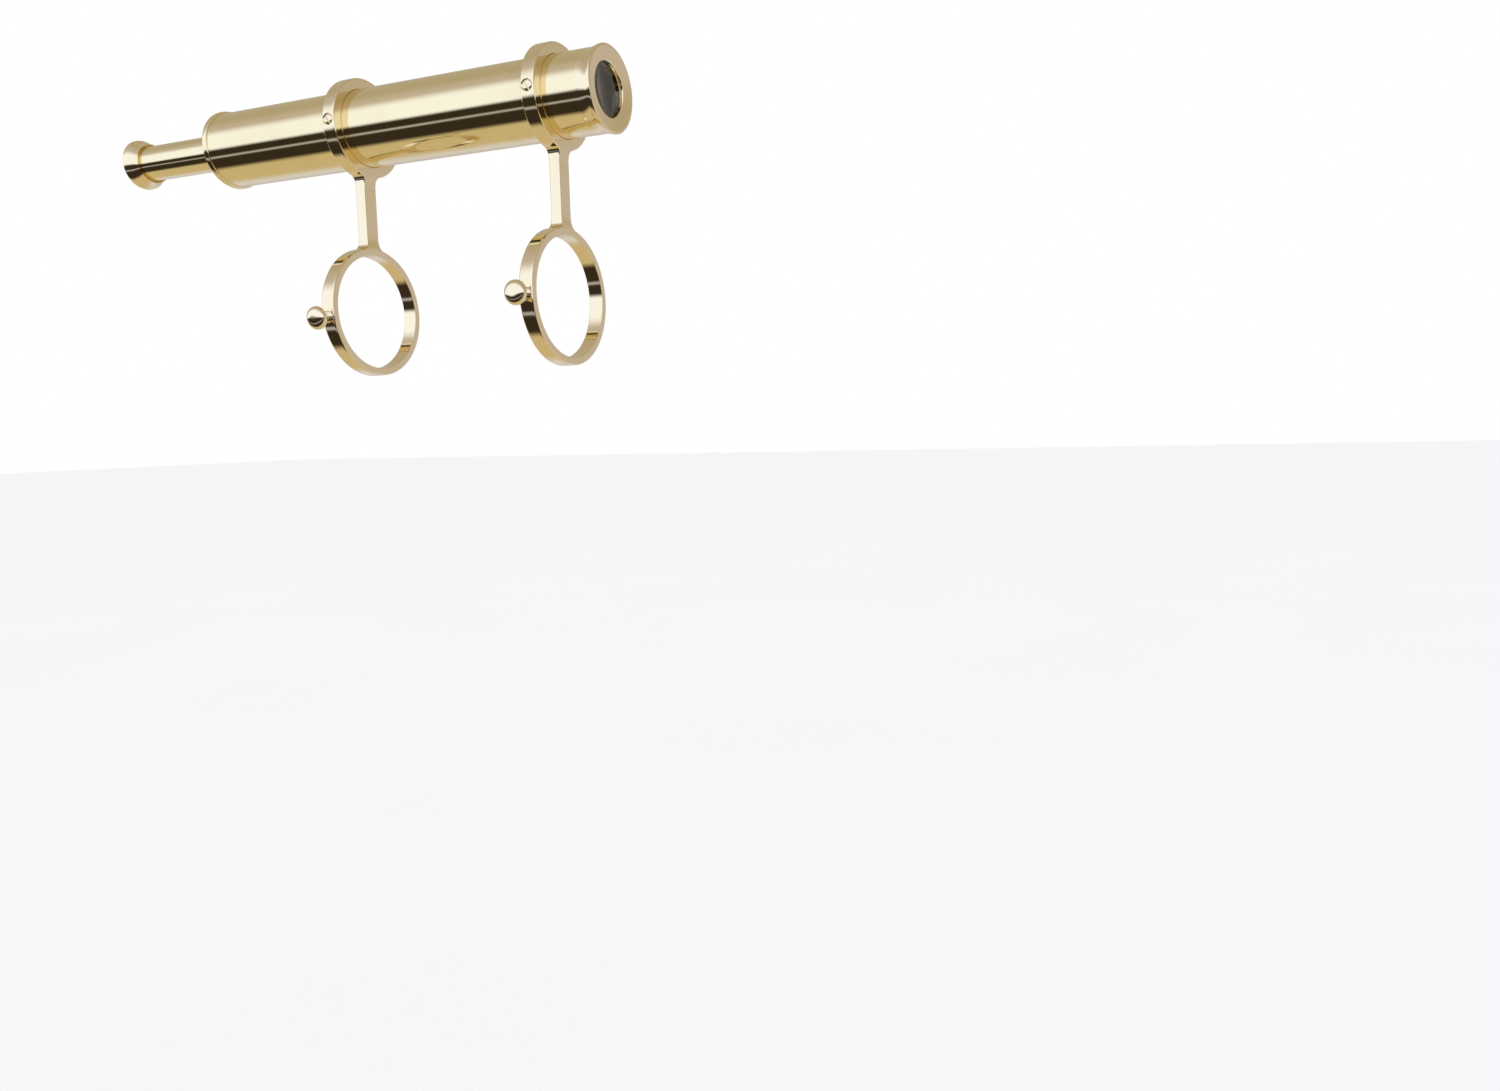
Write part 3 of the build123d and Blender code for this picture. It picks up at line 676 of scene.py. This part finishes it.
# --- draw tube and eyepiece ---------------------------------------------------------------------
def make_draw_tube():
    rear, front = DRAW_LOW.x, DRAW_HIGH.x
    bore = DRAW_RADIUS - DRAW_WALL
    outline = [(rear, bore), (rear, DRAW_RADIUS), (front, DRAW_RADIUS), (front, bore), (rear, bore)]
    thing = turn("draw_tube.skin", outline, tube_brass(), ON_AXIS, black_lacquer(), bore + LINING_EDGE)
    finish_piece(thing, "draw", "drawn_brass", "draw_tube")


def make_eyepiece_cap():
    rear, front = EYE_CAP_LOW.x, EYE_CAP_HIGH.x
    rim = (EYE_CAP_HIGH.y - EYE_CAP_LOW.y) / 2
    front_radius = 10.6 * MM
    bore = DRAW_RADIUS + SEAT
    plate_front = DRAW_LOW.x - SEAT
    eye_hole = 3.6 * MM
    countersink = 1.2 * MM
    front_bevel = 0.2 * MM
    waist, waist_swell = 4.3 * MM, 0.85 * MM
    eye_plate = 0.9 * MM
    trumpet = arc((front - front_bevel, front_radius), (front - waist, front_radius + waist_swell),
                  (rear + 1.6 * MM, rim - 0.1 * MM), 12)
    eye_side = [(plate_front - eye_plate, eye_hole, 0.15 * MM),
                (plate_front - eye_plate - 0.1 * MM, eye_hole + 1.4 * MM, 0.6 * MM),
                (rear + 0.5 * MM, rim - 1.6 * MM, 0.5 * MM), (rear, rim - 0.8 * MM, 0.3 * MM),
                (rear + 0.3 * MM, rim, 0.35 * MM)]
    inside = [(front, front_radius - front_bevel), (front - countersink, bore), (plate_front, bore),
              (plate_front, eye_hole)]
    corners = eye_side + trumpet[::-1] + inside
    thing = turn("eyepiece_cap.skin", rounded(corners), cast_brass(), ON_AXIS)
    finish_piece(thing, "draw", "cast_brass", "eyepiece_cap")


# --- brackets -----------------------------------------------------------------------------------
class Casting:
    """The figure-8 outline of a bracket in the (Y, Z) plane, and how thick the casting is."""

    def __init__(self, node):
        low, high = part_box(node)
        self.x = (low.x + high.x) / 2
        self.half_ring = (high.x - low.x) / 2
        self.half_post = 2.9 * MM
        self.half_breadth = 4.4 * MM
        self.upper = high.z - AXIS_HEIGHT
        self.lower = -low.z
        self.soft = shape().edge_softening
        self.fillet = shape().post_fillet
        self.bore_edge = shape().bore_edge

    def spread_angle(self, ring_radius):
        """Angle from the post's middle to where its fillet leaves the ring."""
        return math.asin((self.half_breadth + self.fillet) / (ring_radius + self.fillet))

    def rim_stations(self):
        """(inset from the outline, depth below the face) from the face round to the side wall."""
        stations = [(self.soft + SUPPORT, 0.0)]
        steps = 6
        for i in range(steps + 1):
            angle = math.radians(90) * i / steps
            stations.append((self.soft * (1 - math.sin(angle)), self.soft * (1 - math.cos(angle))))
        stations.append((0.0, self.soft + SUPPORT))
        return stations

    def bore_stations(self):
        """(distance out from the bore, depth below the face) from inside the bore to the face."""
        edge = self.bore_edge
        stations = [(0.0, edge + SUPPORT)]
        steps = 4
        for i in range(steps + 1):
            angle = math.radians(90) * i / steps
            stations.append((edge * (1 - math.cos(angle)), edge * (1 - math.sin(angle))))
        stations.append((edge + SUPPORT, 0.0))
        return stations


RING_STEPS = 168                   # facets round a ring, outside its post
POST_CELLS = 14                    # facets across a post
FILLET_STEPS = 10
POST_ROWS = 16


def smoothstep(share):
    share = min(max(share, 0.0), 1.0)
    return share * share * (3 - 2 * share)


def ring_angles(spread_angle):
    """Angles round a ring from the post's middle: across the post first, then all the way round."""
    across = [spread_angle * (2 * i / POST_CELLS - 1) for i in range(POST_CELLS + 1)]
    around = [spread_angle + (math.tau - 2 * spread_angle) * i / RING_STEPS for i in range(RING_STEPS + 1)]
    return across, around


def post_side(casting, spreads):
    """The post's side from the lower ring to the upper one: for each step a function of the inset
    that gives (half width, height), the casting's half thickness there, and how near each ring is."""
    lower_spread, upper_spread = spreads
    side = []
    blend = 5.5 * MM

    def fillet_points(centre_height, ring_radius, spread_angle, sign):
        reach = ring_radius + casting.fillet
        height = centre_height + sign * reach * math.cos(spread_angle)
        centre = (casting.half_breadth + casting.fillet, height)
        points = []
        for i in range(FILLET_STEPS + 1):
            angle = spread_angle + (math.radians(90) - spread_angle) * i / FILLET_STEPS

            def at(inset, angle=angle, centre=centre):
                radius = casting.fillet + inset
                y = centre[0] - radius * math.sin(angle)
                return y, centre[1] - sign * radius * math.cos(angle)

            points.append(at)
        return points, centre[1]

    lower, low_end = fillet_points(0.0, casting.lower, lower_spread, 1)
    upper, high_end = fillet_points(AXIS_HEIGHT, casting.upper, upper_spread, -1)
    straight = []
    for i in range(1, POST_ROWS):
        height = low_end + (high_end - low_end) * i / POST_ROWS

        def at(inset, height=height):
            return (casting.half_breadth - inset, height)

        straight.append(at)
    everything = lower + straight + upper[::-1]
    first, last = everything[0](0)[1], everything[-1](0)[1]
    for at in everything:
        height = at(0)[1]
        near_low, near_high = 1 - (height - first) / blend, 1 - (last - height) / blend
        swelling = smoothstep(max(near_low, near_high))
        thickness = casting.half_post + (casting.half_ring - casting.half_post) * swelling
        side.append((at, thickness, smoothstep(near_low), smoothstep(near_high)))
    return side


def strip(mesh, rows):
    """Joins rows of vertices with quads."""
    for first, second in zip(rows, rows[1:]):
        for a, b, c, d in zip(first, first[1:], second[1:], second):
            mesh.faces.new((a, b, c, d))


def bracket_shell(casting):
    """The casting's closed surface, all in quads."""
    mesh = bmesh.new()
    attach = casting.soft + SUPPORT
    rings = ((0.0, casting.lower, MAIN_BORE, 1), (AXIS_HEIGHT, casting.upper, BARREL_RADIUS + SEAT, -1))
    spreads = [casting.spread_angle(ring[1]) for ring in rings]
    side = post_side(casting, spreads)
    rim = casting.rim_stations()
    bore = casting.bore_stations()

    def vertex(y, z, x):
        return mesh.verts.new((casting.x + x, y, z))

    for (height, outer, inner, sign), spread_angle in zip(rings, spreads):
        across, around = ring_angles(spread_angle)

        def on_ring(radius, angle, x, height=height, sign=sign):
            return vertex(radius * math.sin(angle), height + sign * radius * math.cos(angle), x)

        inner_ends = [(inner + out, depth) for out, depth in bore]
        middle = (inner + outer) / 2
        face = [(middle, 0.0), (outer - attach, 0.0)]
        inner_path = [(r, casting.half_ring - d) for r, d in (inner_ends + face)]
        full = inner_path + [(outer - inset, casting.half_ring - depth) for inset, depth in rim[1:]]
        loop = full + [(r, -x) for r, x in full[::-1]]
        strip(mesh, [[on_ring(r, angle, x) for r, x in loop + loop[:1]] for angle in around])
        post_zone = [(r, -x) for r, x in inner_path[::-1]] + inner_path
        strip(mesh, [[on_ring(r, angle, x) for r, x in post_zone] for angle in across])
    for sign in (-1, 1):
        rows = []
        for at, thickness, _, _ in side:
            wall = [(inset, thickness - depth) for inset, depth in rim]
            path = wall + [(inset, -x) for inset, x in wall[::-1]]
            rows.append([vertex(sign * at(inset)[0], at(inset)[1], x) for inset, x in path])
        strip(mesh, rows)
        rows = []
        for at, thickness, from_low, from_high in side:
            half_width, z = at(attach)
            row = []
            for i in range(POST_CELLS + 1):
                share = 2 * i / POST_CELLS - 1
                bow = 0.0
                for (_, outer, _, way), spread_angle, fade in zip(rings, spreads, (from_low, from_high)):
                    bulge = (outer - attach) * (math.cos(share * spread_angle) - math.cos(spread_angle))
                    bow += way * bulge * fade
                low_y = math.sin(share * spreads[0]) / math.sin(spreads[0])
                high_y = math.sin(share * spreads[1]) / math.sin(spreads[1])
                share_y = low_y * from_low + high_y * from_high + share * (1 - from_low - from_high)
                row.append(vertex(half_width * share_y, z + bow, sign * thickness))
            rows.append(row)
        strip(mesh, rows)
    bmesh.ops.remove_doubles(mesh, verts=mesh.verts, dist=0.002 * MM)
    bmesh.ops.recalc_face_normals(mesh, faces=mesh.faces)
    return mesh


def drill(name, centre, axis, begin, stop, radius, opening=0.0, segments=64):
    """A cutter for a hole that runs along an axis, between two distances from a centre. It opens
    outwards by the given amount at its middle."""
    start, end = centre + axis * begin, centre + axis * stop
    along = end - start
    mesh = bmesh.new()
    turned = along.to_track_quat("Z", "Y").to_matrix().to_4x4()
    place = Matrix.Translation((start + end) / 2) @ turned
    bmesh.ops.create_cone(mesh, cap_ends=True, segments=segments, radius1=radius,
                          radius2=radius + 2 * opening, depth=along.length, matrix=place)
    data = bpy.data.meshes.new(name)
    mesh.to_mesh(data)
    mesh.free()
    return new_object(name, data)


def cut(thing, cutter):
    """Takes the cutter's volume out of a piece, and removes the cutter."""
    modifier = thing.modifiers.new("Hole", "BOOLEAN")
    modifier.operation = "DIFFERENCE"
    modifier.solver = "EXACT"
    modifier.object = cutter
    make_plain(thing)
    bpy.data.objects.remove(cutter)


def screw_line(place):
    """A thumb screw's outward axis, and the point of the main tube's axis that it starts from."""
    return Vector(SCREW_JOINTS[place]["axis"]).normalized(), Vector((RING_X[place], 0, 0))


def make_bracket(place):
    node = place + "_bracket"
    casting = Casting(node)
    shell = bracket_shell(casting)
    data = bpy.data.meshes.new(node + ".skin")
    shell.to_mesh(data)
    shell.free()
    thing = new_object(node + ".skin", data)
    data.materials.append(cast_brass())
    pocket_depth = 2.0 * MM
    pocket_radius = 2.64 * MM
    mouth = 0.45 * MM
    tapped_radius = 3.0 * MM
    well_inside, well_outside = 0.7, 1.3
    on_finder = Vector((casting.x, 0, AXIS_HEIGHT))
    cut(thing, drill("pocket", on_finder, OUTWARD, casting.upper - pocket_depth,
                     casting.upper * well_outside, pocket_radius))
    cut(thing, drill("pocket_mouth", on_finder, OUTWARD, casting.upper - mouth, casting.upper + mouth,
                     pocket_radius, mouth))
    axis, start = screw_line(place)
    cut(thing, drill("tapped", start, axis, MAIN_BORE * well_inside, casting.lower * well_outside,
                     tapped_radius))
    shade_by_angle(thing)
    finish_piece(thing, "scope", "cast_brass", node)


def shade_by_angle(thing):
    """Smooth shading, with crisp edges where the surface turns sharply."""
    thing.data.shade_smooth()
    thing.data.set_sharp_from_angle(angle=SHARP_ANGLE)


def make_brackets():
    for place in PLACES:
        make_bracket(place)


# --- screws and pads ----------------------------------------------------------------------------
@cache
def slotted_tree():
    """Geometry Nodes tree that saws a slot across a screw's head, which faces along X."""
    tree = bpy.data.node_groups.new("slotted_head", "GeometryNodeTree")
    socket(tree, "Screw", "NodeSocketGeometry")
    socket(tree, "Top", "NodeSocketFloat")
    socket(tree, "Slot Width", "NodeSocketFloat")
    socket(tree, "Slot Depth", "NodeSocketFloat")
    socket(tree, "Slot Turn", "NodeSocketFloat")
    socket(tree, "Finish", "NodeSocketMaterial")
    socket(tree, "Slotted", "NodeSocketGeometry", out=True)
    given = add(tree, "NodeGroupInput").outputs
    blade_reach = 8.0 * MM            # longer than any head is wide
    depth = maths(tree, "MULTIPLY", given["Slot Depth"], 2)
    size = feed(tree, add(tree, "ShaderNodeCombineXYZ"), X=depth, Y=given["Slot Width"], Z=blade_reach)
    blade = feed(tree, add(tree, "GeometryNodeMeshCube"), Size=size.outputs["Vector"])
    at_top = feed(tree, add(tree, "ShaderNodeCombineXYZ"), X=given["Top"])
    turned_about = feed(tree, add(tree, "ShaderNodeCombineXYZ"), X=given["Slot Turn"])
    placed = feed(tree, add(tree, "GeometryNodeTransform"), Geometry=blade.outputs["Mesh"],
                  Translation=at_top.outputs["Vector"], Rotation=turned_about.outputs["Vector"])
    sawn = add(tree, "GeometryNodeMeshBoolean", operation="DIFFERENCE", solver="EXACT")
    feed(tree, sawn, in_0=given["Screw"])
    tree.links.new(placed.outputs["Geometry"], sawn.inputs["Mesh 2"])
    solid = feed(tree, add(tree, "GeometryNodeRealizeInstances"), Geometry=sawn.outputs["Mesh"])
    skinned = feed(tree, add(tree, "GeometryNodeSetMaterial"), Geometry=solid.outputs["Geometry"],
                   Material=given["Finish"])
    feed(tree, add(tree, "NodeGroupOutput"), Slotted=skinned.outputs["Geometry"])
    return tree


def make_ring_screws():
    head_radius = 2.6 * MM
    shank_radius = 1.5 * MM
    head_height = 2.0 * MM
    dome = 0.35 * MM
    edge = 0.4 * MM
    slot_depth = 1.0 * MM
    slot_turn = math.radians(28)
    along_x = Matrix.Identity(4)
    facing_out = Matrix.Rotation(math.radians(-90), 4, "Z")
    for place in PLACES:
        node = place + "_ring_screw"
        low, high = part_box(node)
        shank = high.y - low.y - head_height - dome
        crown_radius = head_radius - edge
        crown = arc((head_height, crown_radius), (head_height + 0.75 * dome, crown_radius / 2),
                    (head_height + dome, 0.0), 10)
        corners = [(-shank, 0.0), (-shank, shank_radius), (0.0, shank_radius), (0.0, head_radius)]
        corners += [(head_height - edge, head_radius)] + crown
        thing = turn(node + ".skin", corners, screw_brass(), along_x, segments=96)
        run_tree(thing, slotted_tree(), {
            "Top": head_height + dome, "Slot Width": shape().slot_width, "Slot Depth": slot_depth,
            "Slot Turn": slot_turn, "Finish": screw_brass()})
        head_seat = Matrix.Translation((RING_X[place], low.y + head_height + dome, AXIS_HEIGHT))
        thing.data.transform(head_seat @ facing_out)
        shade_by_angle(thing)
        finish_piece(thing, "scope", "screw_brass", node)


def reach(node, axis, centre):
    """Nearest and furthest distance of a CAD node from a point, along an axis."""
    along = [(vertex.co - centre).dot(axis) for vertex in frame["nodes"][node].data.vertices]
    return min(along), max(along)


def turning_place(axis, start):
    """Carries the X axis to a screw's axis."""
    return Matrix.Translation(start) @ axis.to_track_quat("X", "Z").to_matrix().to_4x4()


def button(base, radius, height):
    """Outline of a polished button head: nearly flat in the middle, and round at its edge."""
    steps = 28
    flatness = 3.0
    outline = []
    for i in range(steps):
        angle = math.radians(90) * i / steps
        outline.append((base + height * math.sin(angle), radius * math.cos(angle) ** (2 / flatness)))
    return outline + [(base + height, 0.0)]


def make_thumb_screws():
    shank = 2.95 * MM
    thread_depth = 0.5 * MM
    head_radius = 5.7 * MM
    dome = 3.0 * MM
    rim = 0.6 * MM
    under = 1.0 * MM
    stem_hole = 1.2 * MM
    hole_depth = 2.4 * MM
    neck_radius = shank - 0.02 * MM   # just off the thread's radius, so that the neck stays plain
    collar = 1.2 * MM
    lead_in, plain_neck = 0.4 * MM, 1.2 * MM
    rows_per_turn = 10
    inside_box = 0.05 * MM
    for place in PLACES:
        node = place + "_thumb_screw"
        axis, start = screw_line(place)
        tip, top = reach(node, axis, start)
        top -= inside_box
        rim_high = top - dome
        rim_low = rim_high - rim
        neck_end = rim_low - under
        thread_start, thread_end = tip + lead_in, neck_end - plain_neck
        pitch = shape().thread_pitch
        rows = math.ceil((thread_end - thread_start) / pitch * rows_per_turn)
        thread = [(thread_start + (thread_end - thread_start) * i / rows, shank) for i in range(rows + 1)]
        crown = button(rim_high, head_radius, dome)
        neck = [(thread_end, neck_radius), (neck_end, neck_radius)]
        head = rounded([(neck_end, neck_radius), (neck_end, shank + collar, 0.2 * MM),
                        (rim_low, head_radius, 0.25 * MM), (rim_high, head_radius)], closed=False)[1:-1]
        corners = [(tip + hole_depth, 0.0), (tip + hole_depth, stem_hole), (tip, stem_hole),
                   (tip, shank - thread_depth)] + thread + neck + head + crown
        thing = turn(node + ".skin", corners, screw_brass(), turning_place(axis, start), segments=96,
                     thread={"Thread Depth": thread_depth, "Thread Pitch": pitch, "Thread Radius": shank})
        finish_piece(thing, place + "_screw", "screw_brass", node)


def make_clamp_pads():
    base_radius = 2.6 * MM
    stem_radius = 1.15 * MM
    base_height = 0.97 * MM
    for place in PLACES:
        node = place + "_clamp_pad"
        axis, start = screw_line(place)
        tip, top = reach(node, axis, start)
        corners = [(tip, 0.0), (tip, base_radius, 0.2 * MM), (tip + base_height, base_radius, 0.2 * MM),
                   (tip + base_height, stem_radius), (top, stem_radius, 0.15 * MM), (top, 0.0)]
        thing = turn(node + ".skin", rounded(corners, closed=False), nylon(), turning_place(axis, start),
                     segments=64)
        finish_piece(thing, place + "_pad", "pad_plastic", node)


# --- what the tubes hold ------------------------------------------------------------------------
def finish_inner_pieces():
    """The CAD shapes of the inner fittings are right as they are, and get their real finishes."""
    finishes = {"blackened_brass": black_lacquer, "lens_glass": lens_glass, "steel_wire": drawn_wire,
                "pad_plastic": nylon, "drawn_brass": tube_brass, "cast_brass": cast_brass,
                "screw_brass": screw_brass}
    for part in frame["record"]["subparts"]:
        thing = frame["nodes"][part["node"]]
        material = finishes[part["material_slot"]]()
        if not thing.material_slots:
            thing.data.materials.append(material)
        for slot in thing.material_slots:
            slot.material = material


# --- studio -------------------------------------------------------------------------------------
# The studio's surfaces as a polished piece sees them, and where each lies round the scope's axis,
# in degrees up from the thumb screws' side.
WINDOW = (1.1, 1.2, 1.5)
DADO = (0.04, 0.03, 0.02)
RAIL = (0.5, 0.5, 0.6)
BOUNCE_CARD = (0.65, 0.55, 0.35)
PALE_PANEL = (0.75, 0.75, 0.85)
WALL = (0.6, 0.55, 0.55)
CEILING = (0.5, 0.45, 0.35)
STUDIO_BANDS = (
    (-180, WALL), (-145, PALE_PANEL), (-115, BOUNCE_CARD), (-75, BOUNCE_CARD), (-60, DADO),
    (-35, DADO), (-30, RAIL), (-25, DADO), (-10, DADO), (0, WINDOW), (35, WINDOW), (60, WALL),
    (90, CEILING), (150, CEILING), (170, WALL))
BAND_WAVER = math.radians(4)       # how far the bands' edges wander


def make_world():
    """Soft light: plain white on matt surfaces, and broad soft bands in what polished ones reflect."""
    world = bpy.data.worlds.new("studio")
    bpy.context.scene.world = world
    world.use_nodes = True
    tree = world.node_tree
    tree.nodes.clear()
    direction = add(tree, "ShaderNodeTexCoord").outputs["Generated"]
    _, y, z = feed(tree, add(tree, "ShaderNodeSeparateXYZ"), Vector=direction).outputs
    straight = maths(tree, "ARCTAN2", z, maths(tree, "MULTIPLY", y, -1))
    wander = maths(tree, "SUBTRACT", noise(tree, direction, 2.0), 0.5)
    turn_round = maths(tree, "MULTIPLY_ADD", wander, BAND_WAVER, straight)
    ramp = add(tree, "ShaderNodeValToRGB")
    feed(tree, ramp, Fac=maths(tree, "MULTIPLY_ADD", turn_round, 1 / math.tau, 0.5))
    ramp.color_ramp.interpolation = "EASE"
    elements = ramp.color_ramp.elements
    while len(elements) > 1:
        elements.remove(elements[-1])
    for i, (degrees, colour) in enumerate(STUDIO_BANDS):
        spot = (degrees + 180) / 360
        element = elements[0] if i == 0 else elements.new(spot)
        element.position = spot
        element.color = opaque(colour)
    bands = feed(tree, add(tree, "ShaderNodeBackground"), Color=ramp.outputs["Color"], Strength=1.0)
    plain = feed(tree, add(tree, "ShaderNodeBackground"), Color=(1, 1, 1, 1), Strength=1.0)
    path = add(tree, "ShaderNodeLightPath")
    seen_plain = maths(tree, "MAXIMUM", path.outputs["Is Camera Ray"], path.outputs["Is Diffuse Ray"])
    blend = feed(tree, add(tree, "ShaderNodeMixShader"), in_0=seen_plain, in_1=bands.outputs[0],
                 in_2=plain.outputs[0])
    feed(tree, add(tree, "ShaderNodeOutputWorld"), Surface=blend.outputs[0])


def make_floor():
    studio = bpy.context.scene.finder_studio
    half = 12.0
    paint, worn_paint = (0.985, 0.985, 0.985), (0.995, 0.995, 0.99)
    mesh = bmesh.new()
    bmesh.ops.create_grid(mesh, x_segments=4, y_segments=4, size=half,
                          matrix=Matrix.Translation((0, 0, studio.floor_height)))
    data = bpy.data.meshes.new("studio_floor")
    mesh.to_mesh(data)
    mesh.free()
    floor = new_object("studio_floor", data)
    material, tree, shader, here = new_material("floor_paint")
    mottle = noise(tree, here, 3.0, detail=2.0)
    colour = mixed(tree, mottle, opaque(paint), opaque(worn_paint))
    feed(tree, shader, Base_Color=colour, Roughness=spread(tree, mottle, 0, 1, 0.8, 0.9))
    data.materials.append(material)
    floor.visible_glossy = False
    floor.visible_transmission = False


def make_camera():
    studio = bpy.context.scene.finder_studio
    data = bpy.data.cameras.new("camera")
    data.sensor_fit = "HORIZONTAL"
    data.sensor_width = 36.0
    data.lens = studio.lens_length
    data.clip_start = 0.01
    camera = bpy.data.objects.new("camera", data)
    bpy.context.scene.collection.objects.link(camera)
    level = Matrix.Rotation(math.radians(90), 4, "X")
    turned = Matrix.Rotation(studio.camera_turn, 4, "Z") @ level
    dipped = turned @ Matrix.Rotation(-studio.camera_dip, 4, "X")
    rolled = dipped @ Matrix.Rotation(studio.camera_roll, 4, "Z")
    camera.matrix_world = Matrix.Translation(studio.camera_place) @ rolled
    bpy.context.scene.camera = camera


def make_stage():
    make_world()
    make_floor()
    make_camera()
    view = bpy.context.scene.view_settings
    view.view_transform = "Standard"
    view.look = "None"


# --- operators, panel and registration ----------------------------------------------------------
class FINDER_OT_stage(bpy.types.Operator):
    """Set up the studio: floor, light and camera."""
    bl_idname = "finder.stage"
    bl_label = "Studio"

    def execute(self, context):
        make_stage()
        return {"FINISHED"}


class FINDER_OT_inner_pieces(bpy.types.Operator):
    """Give the fittings inside the tubes their real finishes."""
    bl_idname = "finder.inner_pieces"
    bl_label = "Inner pieces"

    def execute(self, context):
        finish_inner_pieces()
        return {"FINISHED"}


class FINDER_OT_barrel(bpy.types.Operator):
    """Turn the barrel tube."""
    bl_idname = "finder.barrel"
    bl_label = "Barrel tube"

    def execute(self, context):
        make_barrel()
        return {"FINISHED"}


class FINDER_OT_bezel(bpy.types.Operator):
    """Turn the objective bezel."""
    bl_idname = "finder.bezel"
    bl_label = "Objective bezel"

    def execute(self, context):
        make_bezel()
        return {"FINISHED"}


class FINDER_OT_lenses(bpy.types.Operator):
    """Grind the lenses."""
    bl_idname = "finder.lenses"
    bl_label = "Lenses"

    def execute(self, context):
        make_lenses()
        return {"FINISHED"}


class FINDER_OT_end_cap(bpy.types.Operator):
    """Turn the rear end cap and the bush in it."""
    bl_idname = "finder.end_cap"
    bl_label = "Rear end cap and bush"

    def execute(self, context):
        make_end_cap()
        return {"FINISHED"}


class FINDER_OT_draw_tube(bpy.types.Operator):
    """Turn the draw tube."""
    bl_idname = "finder.draw_tube"
    bl_label = "Draw tube"

    def execute(self, context):
        make_draw_tube()
        return {"FINISHED"}


class FINDER_OT_eyepiece_cap(bpy.types.Operator):
    """Turn the eyepiece cap."""
    bl_idname = "finder.eyepiece_cap"
    bl_label = "Eyepiece cap"

    def execute(self, context):
        make_eyepiece_cap()
        return {"FINISHED"}


class FINDER_OT_brackets(bpy.types.Operator):
    """Cast the two brackets."""
    bl_idname = "finder.brackets"
    bl_label = "Brackets"

    def execute(self, context):
        make_brackets()
        return {"FINISHED"}


class FINDER_OT_ring_screws(bpy.types.Operator):
    """Turn and slot the ring screws."""
    bl_idname = "finder.ring_screws"
    bl_label = "Ring screws"

    def execute(self, context):
        make_ring_screws()
        return {"FINISHED"}


class FINDER_OT_thumb_screws(bpy.types.Operator):
    """Turn and thread the thumb screws."""
    bl_idname = "finder.thumb_screws"
    bl_label = "Thumb screws"

    def execute(self, context):
        make_thumb_screws()
        return {"FINISHED"}


class FINDER_OT_clamp_pads(bpy.types.Operator):
    """Turn the clamp pads."""
    bl_idname = "finder.clamp_pads"
    bl_label = "Clamp pads"

    def execute(self, context):
        make_clamp_pads()
        return {"FINISHED"}


OPERATORS = (FINDER_OT_inner_pieces, FINDER_OT_barrel, FINDER_OT_bezel, FINDER_OT_lenses, FINDER_OT_end_cap,
             FINDER_OT_draw_tube, FINDER_OT_eyepiece_cap, FINDER_OT_brackets, FINDER_OT_ring_screws,
             FINDER_OT_thumb_screws, FINDER_OT_clamp_pads, FINDER_OT_stage)
SETTINGS = {"finder_shape": FinderShape, "finder_finish": FinderFinish, "finder_studio": FinderStudio}


class FINDER_PT_panel(bpy.types.Panel):
    """Lists the finder's settings and the pieces that it is built from."""
    bl_idname = "FINDER_PT_panel"
    bl_label = "Finder scope"
    bl_space_type = "VIEW_3D"
    bl_region_type = "UI"
    bl_category = "Finder"

    def draw(self, context):
        for name, settings in SETTINGS.items():
            box = self.layout.box()
            for field in settings.__annotations__:
                box.prop(getattr(context.scene, name), field)
        for operator in OPERATORS:
            self.layout.operator(operator.bl_idname)


CLASSES = (*SETTINGS.values(), *OPERATORS, FINDER_PT_panel)


def register():
    for one in CLASSES:
        bpy.utils.register_class(one)
    for name, settings in SETTINGS.items():
        setattr(bpy.types.Scene, name, PointerProperty(type=settings))


def unregister():
    for name in SETTINGS:
        delattr(bpy.types.Scene, name)
    for one in reversed(CLASSES):
        bpy.utils.unregister_class(one)


def main():
    register()
    for operator in OPERATORS:
        family, name = operator.bl_idname.split(".")
        getattr(getattr(bpy.ops, family), name)()


if __name__ == "__main__":
    main()
